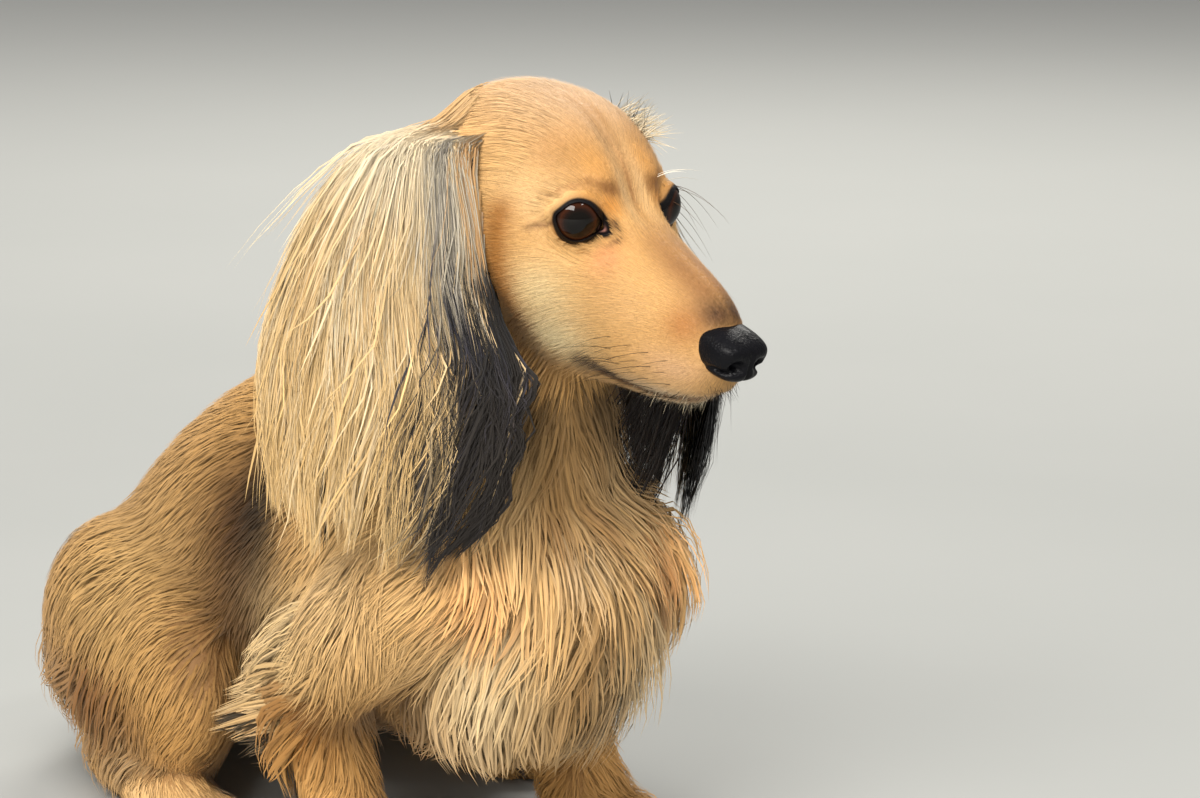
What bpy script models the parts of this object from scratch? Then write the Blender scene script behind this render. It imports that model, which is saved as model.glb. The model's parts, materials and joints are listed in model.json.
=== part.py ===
# A longhaired miniature dachshund, sitting, modelled at life size as a still museum figure.
# Metres, +Z up. The dog's chest faces +X and its left side is +Y. It sits on the floor at Z = 0.
# The head has its own frame: f forward along the skull, l to the dog's left, u up, with its
# origin midway between the eyeballs. Pieces of the body are cut clear of each other by GAP.

import math

import bmesh
import bpy
import numpy as np

for old in list(bpy.data.objects):
    bpy.data.objects.remove(old, do_unlink=True)

# Driving sizes
GAP = 0.0003
HEAD_ORIGIN = np.array([0.110, 0.006, 0.250])
HEAD_YAW = math.radians(7)
HEAD_PITCH = math.radians(12)
EYE_RADIUS = 0.0097
EYE_SET = np.array([-0.0028, 0.0176, 0.0])
EYE_GAZE = np.array([0.83, 0.55, 0.02])
LID_HALF_WIDTH = 0.0088
LID_HALF_HEIGHT = 0.0080
LID_THICK = 0.0014
LID_LIFT = 0.0002
LID_LEAST_DEPTH = 0.0030
TEAR_FORWARD = 0.0022
TEAR_DOWN = 0.0026
NOSE_SET = np.array([0.0610, 0.0, -0.0268])
NOSE_SIZE = np.array([0.0118, 0.0115, 0.0088])
NOSE_SQUARE = 3.0
NOSE_DROOP = 0.12
NOSE_TAPER = 14.0
# Each nostril is two cuts, its round front and the slit that runs back from it: centre and half sizes
NOSTRILS = (
    ([0.0715, 0.0046, -0.0290], [0.0042, 0.0023, 0.0021]),
    ([0.0680, 0.0092, -0.0310], [0.0055, 0.0030, 0.0009]),
)
SEED = 7

# Long coat. Each row of locks is rooted in the form below it and lies over the next row
EAR_LEATHER = 0.62
EAR_THICK = 0.0040
EAR_ROWS = (0.04, 0.28, 0.50)
EAR_LOCKS_A_ROW = 6
EAR_LOCK_REACH = 0.52
EAR_LOCK_WIDTH = 0.0152
EAR_LOCK_RISE = 0.0060
EAR_LOCK_WAVE = 0.012
BIB_ROWS = (0.124, 0.106, 0.089, 0.073)
BIB_LOCKS_A_ROW = 4
BIB_SPACING = 0.021
BIB_LENGTH = 0.030
BIB_RISE = 0.0050
BIB_SCATTER = 0.004
BIB_SHORTER = 6.0  # the share of its length that a lock loses for each metre from the middle
BIB_FANNED = 2.0
BIB_FACING = 12.0
RUFF_HEIGHTS = (0.186, 0.166)
RUFF_LOCKS_A_ROW = 6
RUFF_LENGTH = 0.034
RUFF_ROUND = 1.75  # radians each way round from the front of the neck
RUFF_SHIFT = 0.12
RUFF_OUT = 0.30
RUFF_WIDTH = 0.0184
FRINGE_LOCKS = 5
FRINGE_LENGTH = 0.032
FRINGE_FROM = 0.42
FRINGE_SPAN = 0.40
FRINGE_DROOP = 0.35
TROUSER_LOCKS = 6
TROUSER_LENGTH = 0.034
TROUSER_FROM = 0.10
TROUSER_SPAN = 0.46
BELLY_LOCKS = 4
BELLY_LENGTH = 0.024
BELLY_FIRST = 0.050
BELLY_SPACING = 0.024
BELLY_APART = 0.016
PLUME_LOCKS = 7
PLUME_LENGTH = 0.042
PLUME_FROM = 0.22
PLUME_SPAN = 0.74
PLUME_SHORTER = 0.35
PLUME_FANNED = 0.55
LOCK_WIDTH = 0.0160
LOCK_THICK = 0.0026
LOCK_STEPS = 5
LOCK_DROOP = 0.1
LOCK_ROOT = 0.7  # its width at the root, as a share of the widest
LOCK_FULL_AT = 0.25
LOCK_TAPER_AT = 0.35
LOCK_TAPER_POWER = 1.2
LOCK_TOP = 0.55
ROW_SHIFT = 0.25
TORSO_CLEAR = 0.004
MOST_MOVE = 3.0
MERGE = 0.000002
FLAT_DEGREES = (1.0, 0.5, 0.2, 0.05, 0.01)
SUNK = 0.0035

# Torso sections: x, centre y, top z, widest z, bottom z, half width
TORSO = np.array([
    [0.1010, 0.0, 0.1250, 0.1120, 0.0990, 0.0120],
    [0.0960, 0.0, 0.1360, 0.1120, 0.0850, 0.0270],
    [0.0840, 0.0, 0.1500, 0.1130, 0.0620, 0.0420],
    [0.0650, 0.0, 0.1640, 0.1140, 0.0440, 0.0510],
    [0.0400, 0.0, 0.1780, 0.1140, 0.0370, 0.0560],
    [0.0100, 0.0, 0.1870, 0.1120, 0.0370, 0.0600],
    [-0.0250, -0.001, 0.1870, 0.1080, 0.0350, 0.0620],
    [-0.0600, -0.003, 0.1830, 0.1000, 0.0280, 0.0630],
    [-0.0950, -0.005, 0.1690, 0.0880, 0.0190, 0.0640],
    [-0.1300, -0.007, 0.1450, 0.0720, 0.0050, 0.0630],
    [-0.1600, -0.008, 0.1110, 0.0540, -0.0030, 0.0590],
    [-0.1810, -0.008, 0.0760, 0.0380, -0.0020, 0.0460],
    [-0.1930, -0.008, 0.0500, 0.0260, 0.0020, 0.0290],
])
TORSO_ENDS = ([0.1035, 0.0, 0.1120], [-0.1970, -0.008, 0.0250])

# Head sections in the head frame: f, top u, widest u, bottom u, half width
HEAD = np.array([
    [-0.0800, 0.0160, -0.006, -0.0200, 0.0160],
    [-0.0700, 0.0245, -0.007, -0.0330, 0.0260],
    [-0.0580, 0.0300, -0.008, -0.0410, 0.0335],
    [-0.0450, 0.0325, -0.009, -0.0460, 0.0375],
    [-0.0300, 0.0328, -0.011, -0.0490, 0.0385],
    [-0.0150, 0.0290, -0.013, -0.0510, 0.0370],
    [-0.0030, 0.0205, -0.017, -0.0530, 0.0330],
    [0.0080, 0.0090, -0.022, -0.0545, 0.0275],
    [0.0180, 0.0020, -0.027, -0.0555, 0.0232],
    [0.0300, -0.0022, -0.031, -0.0555, 0.0202],
    [0.0420, -0.0058, -0.033, -0.0540, 0.0178],
    [0.0520, -0.0100, -0.034, -0.0510, 0.0152],
    [0.0590, -0.0150, -0.034, -0.0470, 0.0118],
])
HEAD_ENDS = ([-0.0850, 0.0, -0.003], [0.0625, 0.0, -0.0320])

# Soft forms pushed out of or into the head: centre, reach and push, each as f, l, u, on both sides
HEAD_FORMS = (
    ([0.0080, 0.0240, 0.0000], [0.0110, 0.0090, 0.0100], [-0.0035, -0.0040, 0.0000]),
    ([0.0070, 0.0150, 0.0150], [0.0090, 0.0080, 0.0060], [0.0030, 0.0010, 0.0012]),
    ([-0.0030, 0.0000, 0.0280], [0.0200, 0.0045, 0.0150], [-0.0004, 0.0000, -0.0005]),
    ([0.0120, 0.0000, 0.0090], [0.0090, 0.0090, 0.0080], [-0.0010, 0.0000, -0.0010]),
    ([-0.0160, 0.0330, -0.0280], [0.0170, 0.0120, 0.0150], [0.0000, 0.0030, 0.0000]),
    ([0.0430, 0.0150, -0.0420], [0.0160, 0.0100, 0.0080], [0.0000, 0.0018, 0.0000]),
    ([-0.0180, 0.0320, 0.0080], [0.0140, 0.0100, 0.0120], [0.0000, -0.0020, 0.0000]),
)

# The side view of the mouth in the head frame, f and u, from the corner to the front
MOUTH = [
    [0.0100, -0.0475], [0.0240, -0.0500], [0.0380, -0.0502],
    [0.0500, -0.0480], [0.0600, -0.0455], [0.0750, -0.0440],
]
JAW_BACK = [-0.0020, -0.0700]
JAW_BELOW = -0.0900
JAW_BLOCK_HALF = 0.05

# The ear hangs between a front and a rear edge, given in the head frame from the root down
EAR_FRONT = np.array([
    [-0.0400, 0.026, 0.0170],
    [-0.0370, 0.036, 0.0120],
    [-0.0246, 0.039, -0.0105],
    [-0.0154, 0.041, -0.0285],
    [0.0011, 0.042, -0.0440],
    [0.0118, 0.043, -0.0524],
    [0.0126, 0.044, -0.0682],
    [0.0077, 0.047, -0.0990],
    [-0.0024, 0.050, -0.1242],
])
EAR_REAR = np.array([
    [-0.0690, 0.018, 0.0080],
    [-0.0800, 0.034, 0.0040],
    [-0.0935, 0.048, -0.0180],
    [-0.0958, 0.058, -0.0366],
    [-0.0946, 0.067, -0.0574],
    [-0.0930, 0.074, -0.0783],
    [-0.0900, 0.080, -0.0989],
    [-0.0804, 0.083, -0.1135],
    [-0.0692, 0.082, -0.1282],
])
EAR_BULGE = 0.010

# Limbs as tubes: x, y away from the middle, z, half width, half depth
UPPER_ARM = np.array([
    [0.0740, 0.0300, 0.1290, 0.0180, 0.0180],
    [0.0680, 0.0350, 0.1220, 0.0250, 0.0270],
    [0.0480, 0.0430, 0.1080, 0.0245, 0.0290],
    [0.0260, 0.0500, 0.0900, 0.0220, 0.0255],
    [0.0110, 0.0530, 0.0740, 0.0200, 0.0210],
    [0.0100, 0.0530, 0.0580, 0.0180, 0.0190],
    [0.0150, 0.0520, 0.0420, 0.0165, 0.0170],
    [0.0210, 0.0510, 0.0300, 0.0155, 0.0160],
    [0.0230, 0.0505, 0.0180, 0.0130, 0.0130],
])
PAW = np.array([
    [0.0110, 0.0500, 0.0200, 0.0110, 0.0120],
    [0.0210, 0.0505, 0.0180, 0.0165, 0.0165],
    [0.0310, 0.0515, 0.0100, 0.0185, 0.0132],
    [0.0390, 0.0525, 0.0078, 0.0170, 0.0100],
    [0.0440, 0.0530, 0.0080, 0.0120, 0.0070],
])
THIGH = np.array([
    [-0.1830, 0.0380, 0.0380, 0.0170, 0.0240],
    [-0.1660, 0.0480, 0.0450, 0.0290, 0.0410],
    [-0.1340, 0.0560, 0.0570, 0.0325, 0.0530],
    [-0.0950, 0.0620, 0.0540, 0.0300, 0.0490],
    [-0.0600, 0.0670, 0.0470, 0.0230, 0.0370],
    [-0.0440, 0.0690, 0.0430, 0.0130, 0.0200],
])
HIND_FOOT = np.array([
    [-0.1340, 0.0660, 0.0180, 0.0080, 0.0090],
    [-0.1260, 0.0665, 0.0160, 0.0130, 0.0160],
    [-0.0970, 0.0690, 0.0120, 0.0145, 0.0135],
    [-0.0640, 0.0730, 0.0110, 0.0165, 0.0125],
    [-0.0500, 0.0745, 0.0095, 0.0160, 0.0100],
    [-0.0440, 0.0750, 0.0080, 0.0110, 0.0070],
])
# Toes beside the middle of the paw: offset ahead of its end, offset sideways
TOES = np.array([[-0.0040, -0.0132], [0.0015, -0.0047], [0.0015, 0.0047], [-0.0040, 0.0132]])
TOE_SIZE = [0.0105, 0.0057, 0.0082]
TOE_PRESSED = 0.0012
CLAW_LENGTH = 0.0085
CLAW_THICK = 0.0017
CLAW_SUNK = 0.0035
CLAW_DROP = 0.0055
CLAW_TAPER = (1.0, 0.85, 0.5, 0.12)
NECK = np.array([
    [0.0380, 0.0, 0.1200, 0.0460, 0.0460],
    [0.0420, 0.0, 0.1420, 0.0480, 0.0500],
    [0.0480, 0.001, 0.1700, 0.0430, 0.0460],
    [0.0560, 0.002, 0.1980, 0.0385, 0.0400],
    [0.0640, 0.003, 0.2220, 0.0350, 0.0350],
    [0.0700, 0.003, 0.2380, 0.0250, 0.0260],
])
TAIL = np.array([
    [-0.1680, -0.006, 0.0300, 0.0160, 0.0170],
    [-0.1860, -0.006, 0.0230, 0.0150, 0.0150],
    [-0.2080, 0.000, 0.0140, 0.0130, 0.0135],
    [-0.2340, 0.014, 0.0108, 0.0110, 0.0110],
    [-0.2570, 0.040, 0.0098, 0.0090, 0.0098],
    [-0.2720, 0.074, 0.0082, 0.0065, 0.0082],
    [-0.2760, 0.096, 0.0060, 0.0035, 0.0055],
])


# Curves and closed surfaces

def smooth_rows(at, table):
    """Cubic through the rows of a table whose first column is the position."""
    place, values = table[:, 0], table[:, 1:]
    turn = np.sign(place[-1] - place[0])
    place, at = place * turn, at * turn
    slope = np.gradient(values, place, axis=0)
    i = np.clip(np.searchsorted(place, at) - 1, 0, len(place) - 2)
    step = (place[i + 1] - place[i])[:, None]
    s = (at - place[i])[:, None] / step
    return (
        values[i] * (2 * s**3 - 3 * s**2 + 1) + values[i + 1] * (3 * s**2 - 2 * s**3)
        + slope[i] * step * (s**3 - 2 * s**2 + s) + slope[i + 1] * step * (s**3 - s**2)
    )


def along_rows(share, rows):
    """Points at shares 0 to 1 of the way through evenly counted rows."""
    counted = np.column_stack([np.linspace(0, 1, len(rows)), rows])
    return smooth_rows(np.asarray(share, float), counted)


def unit(v):
    return v / np.linalg.norm(v, axis=-1, keepdims=True)


def head_to_world(points):
    yaw, pitch = HEAD_YAW, HEAD_PITCH
    level = np.array([math.cos(yaw), math.sin(yaw), 0.0])
    forward = level * math.cos(pitch) - np.array([0.0, 0.0, math.sin(pitch)])
    left = np.array([-math.sin(yaw), math.cos(yaw), 0.0])
    return HEAD_ORIGIN + np.asarray(points, float) @ np.stack([forward, left, np.cross(forward, left)])


def closed_rings(rings, start, end):
    """A closed surface from rings of points and a pole at each end, as points and faces, facing out."""
    count, around = rings.shape[:2]
    points = np.concatenate([rings.reshape(-1, 3), [start, end]])
    faces = []
    for i in range(count - 1):
        for j in range(around):
            k = (j + 1) % around
            faces.append((i * around + j, i * around + k, (i + 1) * around + k, (i + 1) * around + j))
    last = (count - 1) * around
    for j in range(around):
        k = (j + 1) % around
        faces.append((k, j, count * around))
        faces.append((last + j, last + k, count * around + 1))
    return facing_out(points, faces)


def facing_out(points, faces):
    """The faces turned outwards, with each bent four-sided one split, always along the same diagonal."""
    corners = [(f[0], f[i], f[i + 1]) for f in faces for i in range(1, len(f) - 1)]
    volume = np.linalg.det(points[np.array(corners)]).sum()
    split = []
    for face in faces:
        split += [face] if len(face) != 4 else [face[:3], (face[0], face[2], face[3])]
    return points, split if volume > 0 else [face[::-1] for face in split]


def section(around, width, rise, fall, power=1.0):
    """Offsets sideways and up round an egg-shaped section, for arrays of half sizes."""
    turn = np.linspace(0, 2 * math.pi, around, endpoint=False)
    side = np.sign(np.cos(turn)) * np.abs(np.cos(turn)) ** power
    lift = np.sign(np.sin(turn)) * np.abs(np.sin(turn)) ** power
    tall = np.where(lift[None] > 0, rise[:, None], fall[:, None])
    return side[None] * width[:, None], lift[None] * tall


def tube(rows, around, along, side_axis):
    """A closed tube through rows of centre, half width along side_axis and half depth across it."""
    at = along_rows(np.linspace(0, 1, along), rows)
    centre = at[:, :3]
    tangent = unit(np.gradient(centre, axis=0))
    side = np.asarray(side_axis, float) - tangent * (tangent @ np.asarray(side_axis, float))[:, None]
    side = unit(side)
    over = np.cross(tangent, side)
    across, lift = section(around, at[:, 3], at[:, 4], at[:, 4])
    rings = centre[:, None] + side[:, None] * across[..., None] + over[:, None] * lift[..., None]
    reach = 0.5 * at[[0, -1], 4:5] * tangent[[0, -1]]
    return closed_rings(rings, centre[0] - reach[0], centre[-1] + reach[1])


def ellipsoid(centre, half_sizes, around=12, rows=7):
    tilt = np.linspace(-math.pi / 2, math.pi / 2, rows + 2)[1:-1]
    turn = np.linspace(0, 2 * math.pi, around, endpoint=False)
    ring = np.stack([
        np.cos(tilt)[:, None] * np.cos(turn)[None],
        np.cos(tilt)[:, None] * np.sin(turn)[None],
        np.repeat(np.sin(tilt)[:, None], around, 1),
    ], -1)
    half = np.asarray(half_sizes, float)
    centre = np.asarray(centre, float)
    return closed_rings(centre + ring * half, centre - half * [0, 0, 1], centre + half * [0, 0, 1])


def lock(path, width, thick, outward):
    """A flat tapered lock along a path: four-sided, widest before its middle and ending in a point."""
    path = eased(eased(path))
    share = np.linspace(0, 1, len(path))[:-1]
    widening = LOCK_ROOT + (1 - LOCK_ROOT) * share / LOCK_FULL_AT
    tapering = 1.0 - np.clip(share - LOCK_TAPER_AT, 0, 1) ** LOCK_TAPER_POWER
    full = np.where(share < LOCK_FULL_AT, widening, tapering)
    tangent = unit(np.gradient(path, axis=0))[:-1]
    outward = unit(np.broadcast_to(np.asarray(outward, float), tangent.shape))
    side = unit(np.cross(tangent, outward).mean(0))
    side = unit(side - tangent * (tangent @ side)[:, None])
    over = np.cross(side, tangent)
    half = 0.5 * width * full[:, None]
    tall = 0.5 * thick * np.sqrt(full)[:, None]
    middle = path[:-1]
    top, bottom = middle + over * tall, middle - over * tall
    wide, narrow = side * half, side * half * LOCK_TOP
    rings = np.stack([bottom + wide, top + narrow, top - narrow, bottom - wide], 1)
    return closed_rings(rings, path[0] - tangent[0] * 0.5 * thick, path[-1])


def eased(path):
    """The path with its inner points drawn towards their neighbours."""
    middle = 0.25 * path[:-2] + 0.5 * path[1:-1] + 0.25 * path[2:]
    return np.concatenate([path[:1], middle, path[-1:]])


def falling(root, direction, length, droop, bend, count=LOCK_STEPS):
    """A path from a root along a direction, drooping and bending sideways towards its tip."""
    share = np.linspace(0, 1, count)[:, None]
    direction = unit(np.asarray(direction, float))
    path = root + direction * length * share
    path = path + np.array([0.0, 0.0, -droop * length]) * share**2
    return path + np.asarray(bend, float) * share**2


def torso_level(points):
    """How far out the points lie across the torso, 1 on its surface, with each one's centre."""
    row = smooth_rows(np.clip(points[:, 0], TORSO[-1, 0], TORSO[0, 0]), TORSO)
    side = (points[:, 1] - row[:, 0]) / row[:, 4]
    lift = points[:, 2] - row[:, 2]
    tall = np.where(lift > 0, row[:, 1] - row[:, 2], row[:, 2] - row[:, 3])
    centre = np.stack([points[:, 0], row[:, 0], row[:, 2]], 1)
    return np.hypot(side, lift / tall), centre


def clear_of_torso(path, lift):
    """The path with the points that lie in the torso moved out of it, by more towards the tip."""
    level, centre = torso_level(path)
    away = path - centre
    reach = np.linalg.norm(away, axis=1)
    wanted = reach / level + lift * np.linspace(0, 1, len(path))
    inside = (path[:, 0] < TORSO[0, 0]) & (reach < wanted)
    inside[0] = False
    scale = np.where(inside, wanted / reach, 1.0)
    return centre + away * scale[:, None]


def tube_point(rows, share, turn):
    """The centre and outward direction of a tube, and the distance out to its surface."""
    at = along_rows([share - 0.01, share, share + 0.01], rows)
    tangent = unit(at[2, :3] - at[0, :3])
    side = unit(np.array([0, 1.0, 0]) - tangent * tangent[1])
    over = np.cross(tangent, side)
    out = side * math.cos(turn) * at[1, 3] + over * math.sin(turn) * at[1, 4]
    return at[1, :3], unit(out), np.linalg.norm(out)


def mirrored(shape, side):
    """The shape for the left side, or turned over to the right side where side is -1."""
    points, faces = shape
    return (points, faces) if side > 0 else (points * [1, -1, 1], [f[::-1] for f in faces])


# Blender objects and the joins and cuts between them

def add_object(name, shape):
    mesh = bpy.data.meshes.new(name)
    mesh.from_pydata([tuple(p) for p in shape[0]], [], shape[1])
    obj = bpy.data.objects.new(name, mesh)
    bpy.context.scene.collection.objects.link(obj)
    return obj


def grown(shape):
    """The shape with every face moved out by about the gap, each point to where its faces' planes meet."""
    points, faces = shape
    planes = np.tile(np.eye(3) * 0.01, (len(points), 1, 1))
    pull = np.zeros_like(points)
    for face in faces:
        a, b, c = points[face[0]], points[face[1]], points[face[2]]
        normal = np.cross(b - a, c - a)
        size = np.linalg.norm(normal)
        if size > 0:
            normal = normal / size
            planes[list(face)] += np.outer(normal, normal)
            pull[list(face)] += normal * GAP
    move = np.linalg.solve(planes, pull[..., None])[..., 0]
    length = np.linalg.norm(move, axis=1, keepdims=True)
    return points + move * np.minimum(1, MOST_MOVE * GAP / (length + 1e-12)), faces


def boolean(obj, shapes, operation):
    """One union or cut of obj with closed shapes, applied, with the helper objects then removed.

    The shapes are closed, so the manifold solver joins many locks in seconds, where the exact one is slow.
    """
    if not shapes:
        return
    group = bpy.data.collections.new("operands")
    helpers = [add_object(f"operand_{i}", shape) for i, shape in enumerate(shapes)]
    for helper in helpers:
        group.objects.link(helper)
        bpy.context.scene.collection.objects.unlink(helper)
    modifier = obj.modifiers.new(operation.lower(), "BOOLEAN")
    modifier.operand_type = "COLLECTION"
    modifier.collection = group
    modifier.operation = operation
    modifier.solver = "MANIFOLD"
    graph = bpy.context.evaluated_depsgraph_get()
    made = bpy.data.meshes.new_from_object(obj.evaluated_get(graph))
    obj.modifiers.clear()
    obj.data = made
    for helper in helpers:
        bpy.data.objects.remove(helper, do_unlink=True)
    bpy.data.collections.remove(group)


def keep_largest(obj):
    """Drops every closed surface but the largest, with nearly flat faces joined where that stays closed."""
    for angle in FLAT_DEGREES:
        mesh = bmesh.new()
        mesh.from_mesh(obj.data)
        bmesh.ops.remove_doubles(mesh, verts=mesh.verts, dist=MERGE)
        bmesh.ops.dissolve_limit(mesh, angle_limit=math.radians(angle), verts=mesh.verts, edges=mesh.edges)
        bmesh.ops.triangulate(mesh, faces=mesh.faces)
        if all(len(edge.link_faces) == 2 for edge in mesh.edges):
            break
        print(obj.name, "isn't closed with faces joined up to", angle)
    left, islands = set(mesh.verts), []
    while left:
        island, front = set(), [left.pop()]
        while front:
            vert = front.pop()
            island.add(vert)
            for edge in vert.link_edges:
                other = edge.other_vert(vert)
                if other in left:
                    left.remove(other)
                    front.append(other)
        islands.append(island)
    islands.sort(key=lambda verts: -sum(f.calc_area() for f in {f for v in verts for f in v.link_faces}))
    bmesh.ops.delete(mesh, geom=[v for island in islands[1:] for v in island], context="VERTS")
    mesh.to_mesh(obj.data)
    mesh.free()


def material(name, colour, roughness):
    made = bpy.data.materials.new(name)
    made.use_nodes = True
    shader = made.node_tree.nodes["Principled BSDF"]
    shader.inputs["Base Color"].default_value = (*colour, 1.0)
    shader.inputs["Roughness"].default_value = roughness
    shader.inputs["Metallic"].default_value = 0.0
    return made


def bounds(shape):
    return shape[0].min(0), shape[0].max(0)


def near(first, second):
    (low_a, high_a), (low_b, high_b) = bounds(first), bounds(second)
    return bool((low_a < high_b).all() and (low_b < high_a).all())


placed = []


def node(name, colour, pieces, extra_cuts=(), kept=None):
    """One named part: its pieces joined, then cut clear of every piece placed before it and of the floor."""
    obj = add_object(name, pieces[0])
    boolean(obj, pieces[1:], "UNION")
    if kept:
        boolean(obj, [kept], "INTERSECT")
    else:
        cuts = [other for other in placed if any(near(other, piece) for piece in pieces)]
        if min(bounds(piece)[0][2] for piece in pieces) < 0:
            cuts.append(floor_block())
        boolean(obj, cuts + list(extra_cuts), "DIFFERENCE")
        placed.extend(grown(piece) for piece in pieces)
    keep_largest(obj)
    obj.data.materials.clear()
    obj.data.materials.append(COATS[colour])
    obj.data.shade_smooth()
    obj.data.set_sharp_from_angle(angle=math.radians(40))
    return obj


def floor_block():
    low, high = np.array([-0.5, -0.5, -0.1]), np.array([0.5, 0.5, 0.0])
    corners = np.array([[x, y, z] for x in (0, 1) for y in (0, 1) for z in (0, 1)])
    faces = [(0, 1, 3, 2), (4, 6, 7, 5), (0, 4, 5, 1), (2, 3, 7, 6), (0, 2, 6, 4), (1, 5, 7, 3)]
    return facing_out(low + corners * (high - low), faces)


# Torso

def torso_shape(around=32, along=30):
    at = np.linspace(TORSO[0, 0], TORSO[-1, 0], along)
    row = smooth_rows(at, TORSO)
    across, lift = section(around, row[:, 4], row[:, 1] - row[:, 2], row[:, 2] - row[:, 3])
    rings = np.stack([
        np.repeat(at[:, None], around, 1),
        row[:, :1] + across,
        row[:, 2:3] + lift,
    ], -1)
    return closed_rings(rings, TORSO_ENDS[0], TORSO_ENDS[1])


# Head

def pushed(points, forms):
    for centre, reach, push in forms:
        for side in (1, -1):
            mirror = np.array([1, side, 1])
            weight = np.exp(-((((points - centre * mirror) / reach) ** 2).sum(-1)))
            points = points + weight[..., None] * (push * mirror)
    return points


def head_shape(around=40, along=32, narrower=0.0):
    share = np.linspace(0, 1, along)
    at = HEAD[0, 0] + (HEAD[-1, 0] - HEAD[0, 0]) * share
    row = smooth_rows(at, HEAD)
    across, lift = section(around, row[:, 3] - narrower, row[:, 0] - row[:, 1], row[:, 1] - row[:, 2])
    rings = np.stack([np.repeat(at[:, None], around, 1), across, row[:, 1:2] + lift], -1)
    forms = [tuple(np.array(part) for part in form) for form in HEAD_FORMS]
    points, faces = closed_rings(pushed(rings, forms), HEAD_ENDS[0], HEAD_ENDS[1])
    return head_to_world(points), faces


def mouth_block(drop):
    """The space of the lower jaw, a plate's outline in side view run across the head."""
    outline = [[f, u - drop] for f, u in MOUTH]
    back = JAW_BACK[0] + drop
    outline += [[MOUTH[-1][0], JAW_BELOW], [back, JAW_BELOW], [back, JAW_BACK[1]]]
    outline[0][0] += drop
    half, count = JAW_BLOCK_HALF, len(outline)
    points = np.array([[f, side * half, u] for side in (-1, 1) for f, u in outline])
    faces = [tuple(range(count)), tuple(range(2 * count - 1, count - 1, -1))]
    for i in range(count):
        k = (i + 1) % count
        faces.append((k, i, count + i, count + k))
    points, faces = facing_out(points, faces)
    return head_to_world(points), faces


def eye_frame(side):
    centre = EYE_SET * [1, side, 1]
    gaze = unit(EYE_GAZE * [1, side, 1])
    inward = unit(np.cross([0, 0, 1.0], gaze)) * -side
    return centre, gaze, inward, np.cross(gaze, inward) * side


def lid_shape(side, count=18, around=6):
    """The rim of both lids: an almond ring on the eyeball, drawn out to the tear corner."""
    centre, gaze, inward, upward = eye_frame(side)
    upward = upward if upward[2] > 0 else -upward
    turn = np.linspace(0, 2 * math.pi, count, endpoint=False)
    corner = np.clip(np.cos(turn), 0, 1) ** 4
    across = LID_HALF_WIDTH * np.cos(turn) + TEAR_FORWARD * corner
    rise = LID_HALF_HEIGHT * np.sin(turn) - TEAR_DOWN * corner
    ball = EYE_RADIUS + LID_LIFT
    depth = np.sqrt(np.clip(ball**2 - across**2 - rise**2, LID_LEAST_DEPTH**2, None))
    line = centre + gaze * depth[:, None] + inward * across[:, None] + upward * rise[:, None]
    tangent = unit(np.roll(line, -1, 0) - np.roll(line, 1, 0))
    out = unit(line - centre)
    beside = np.cross(tangent, out)
    swing = np.linspace(0, 2 * math.pi, around, endpoint=False)
    ring = line[:, None] + LID_THICK * (
        out[:, None] * np.cos(swing)[None, :, None] + beside[:, None] * np.sin(swing)[None, :, None]
    )
    faces = []
    for i in range(count):
        for j in range(around):
            n, k = (i + 1) % count, (j + 1) % around
            faces.append((i * around + j, i * around + k, n * around + k, n * around + j))
    points, faces = facing_out(ring.reshape(-1, 3), faces)
    return head_to_world(points), faces


def nose_shape():
    """The nose leather: a rounded block, lower in front and narrower below."""
    points, faces = ellipsoid([0, 0, 0], NOSE_SIZE, 12, 7)
    share = points / NOSE_SIZE
    size = (np.abs(share) ** NOSE_SQUARE).sum(-1, keepdims=True) ** (1 / NOSE_SQUARE)
    points = points / np.clip(size, 0.2, None)
    points[:, 2] -= NOSE_DROOP * points[:, 0]
    points[:, 1] *= 1 - NOSE_TAPER * np.clip(-points[:, 2], 0, 1)
    return head_to_world(points + NOSE_SET), faces


def nostril_cuts():
    cuts = []
    for side in (1, -1):
        for centre, half in NOSTRILS:
            points, faces = ellipsoid(np.array(centre) * [1, side, 1], half, 8, 4)
            cuts.append((head_to_world(points), faces))
    return cuts


# Ears

def ear_sheet(s, t):
    """Points of the hanging ear in the head frame, s from front edge to rear, t from the root down."""
    front, rear = along_rows(t, EAR_FRONT), along_rows(t, EAR_REAR)
    chord = rear - front
    outward = unit(np.cross([0, 0, 1.0], chord))
    outward = outward * np.sign(outward[:, 1:2])
    arch = EAR_BULGE * 4 * s * (1 - s) * (1.2 - 0.6 * t)
    return front + chord * s[:, None] + outward * arch[:, None], outward


def ear_leather(side):
    """The ear's flap: a sheet curved like a cup at its root, with a rounded lower edge."""
    across, down = 7, 7
    s, t = np.meshgrid(np.linspace(0.03, 0.97, across), np.linspace(0.0, 1.0, down))
    reach = EAR_LEATHER * (0.80 + 0.20 * np.sin(math.pi * s))
    middle, outward = ear_sheet(s.ravel(), (t * reach).ravel())
    edge = np.minimum(1, 8 * np.minimum(s, 1 - s) + 0.35) * np.minimum(1, 6 * (1 - t) + 0.35)
    half = (0.5 * EAR_THICK * edge).ravel()[:, None]
    points = np.concatenate([middle + outward * half, middle - outward * half])
    faces, n = [], across * down
    for i in range(down - 1):
        for j in range(across - 1):
            a = i * across + j
            faces.append((a, a + 1, a + across + 1, a + across))
            faces.append((n + a, n + a + across, n + a + across + 1, n + a + 1))
    rim = [j for j in range(across)] + [i * across + across - 1 for i in range(1, down)]
    rim += [n - 1 - j for j in range(1, across)] + [(down - 1 - i) * across for i in range(1, down - 1)]
    for a, b in zip(rim, rim[1:] + rim[:1]):
        faces.append((b, a, n + a, n + b))
    points, faces = facing_out(points, faces)
    return mirrored_head((points, faces), side)


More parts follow.
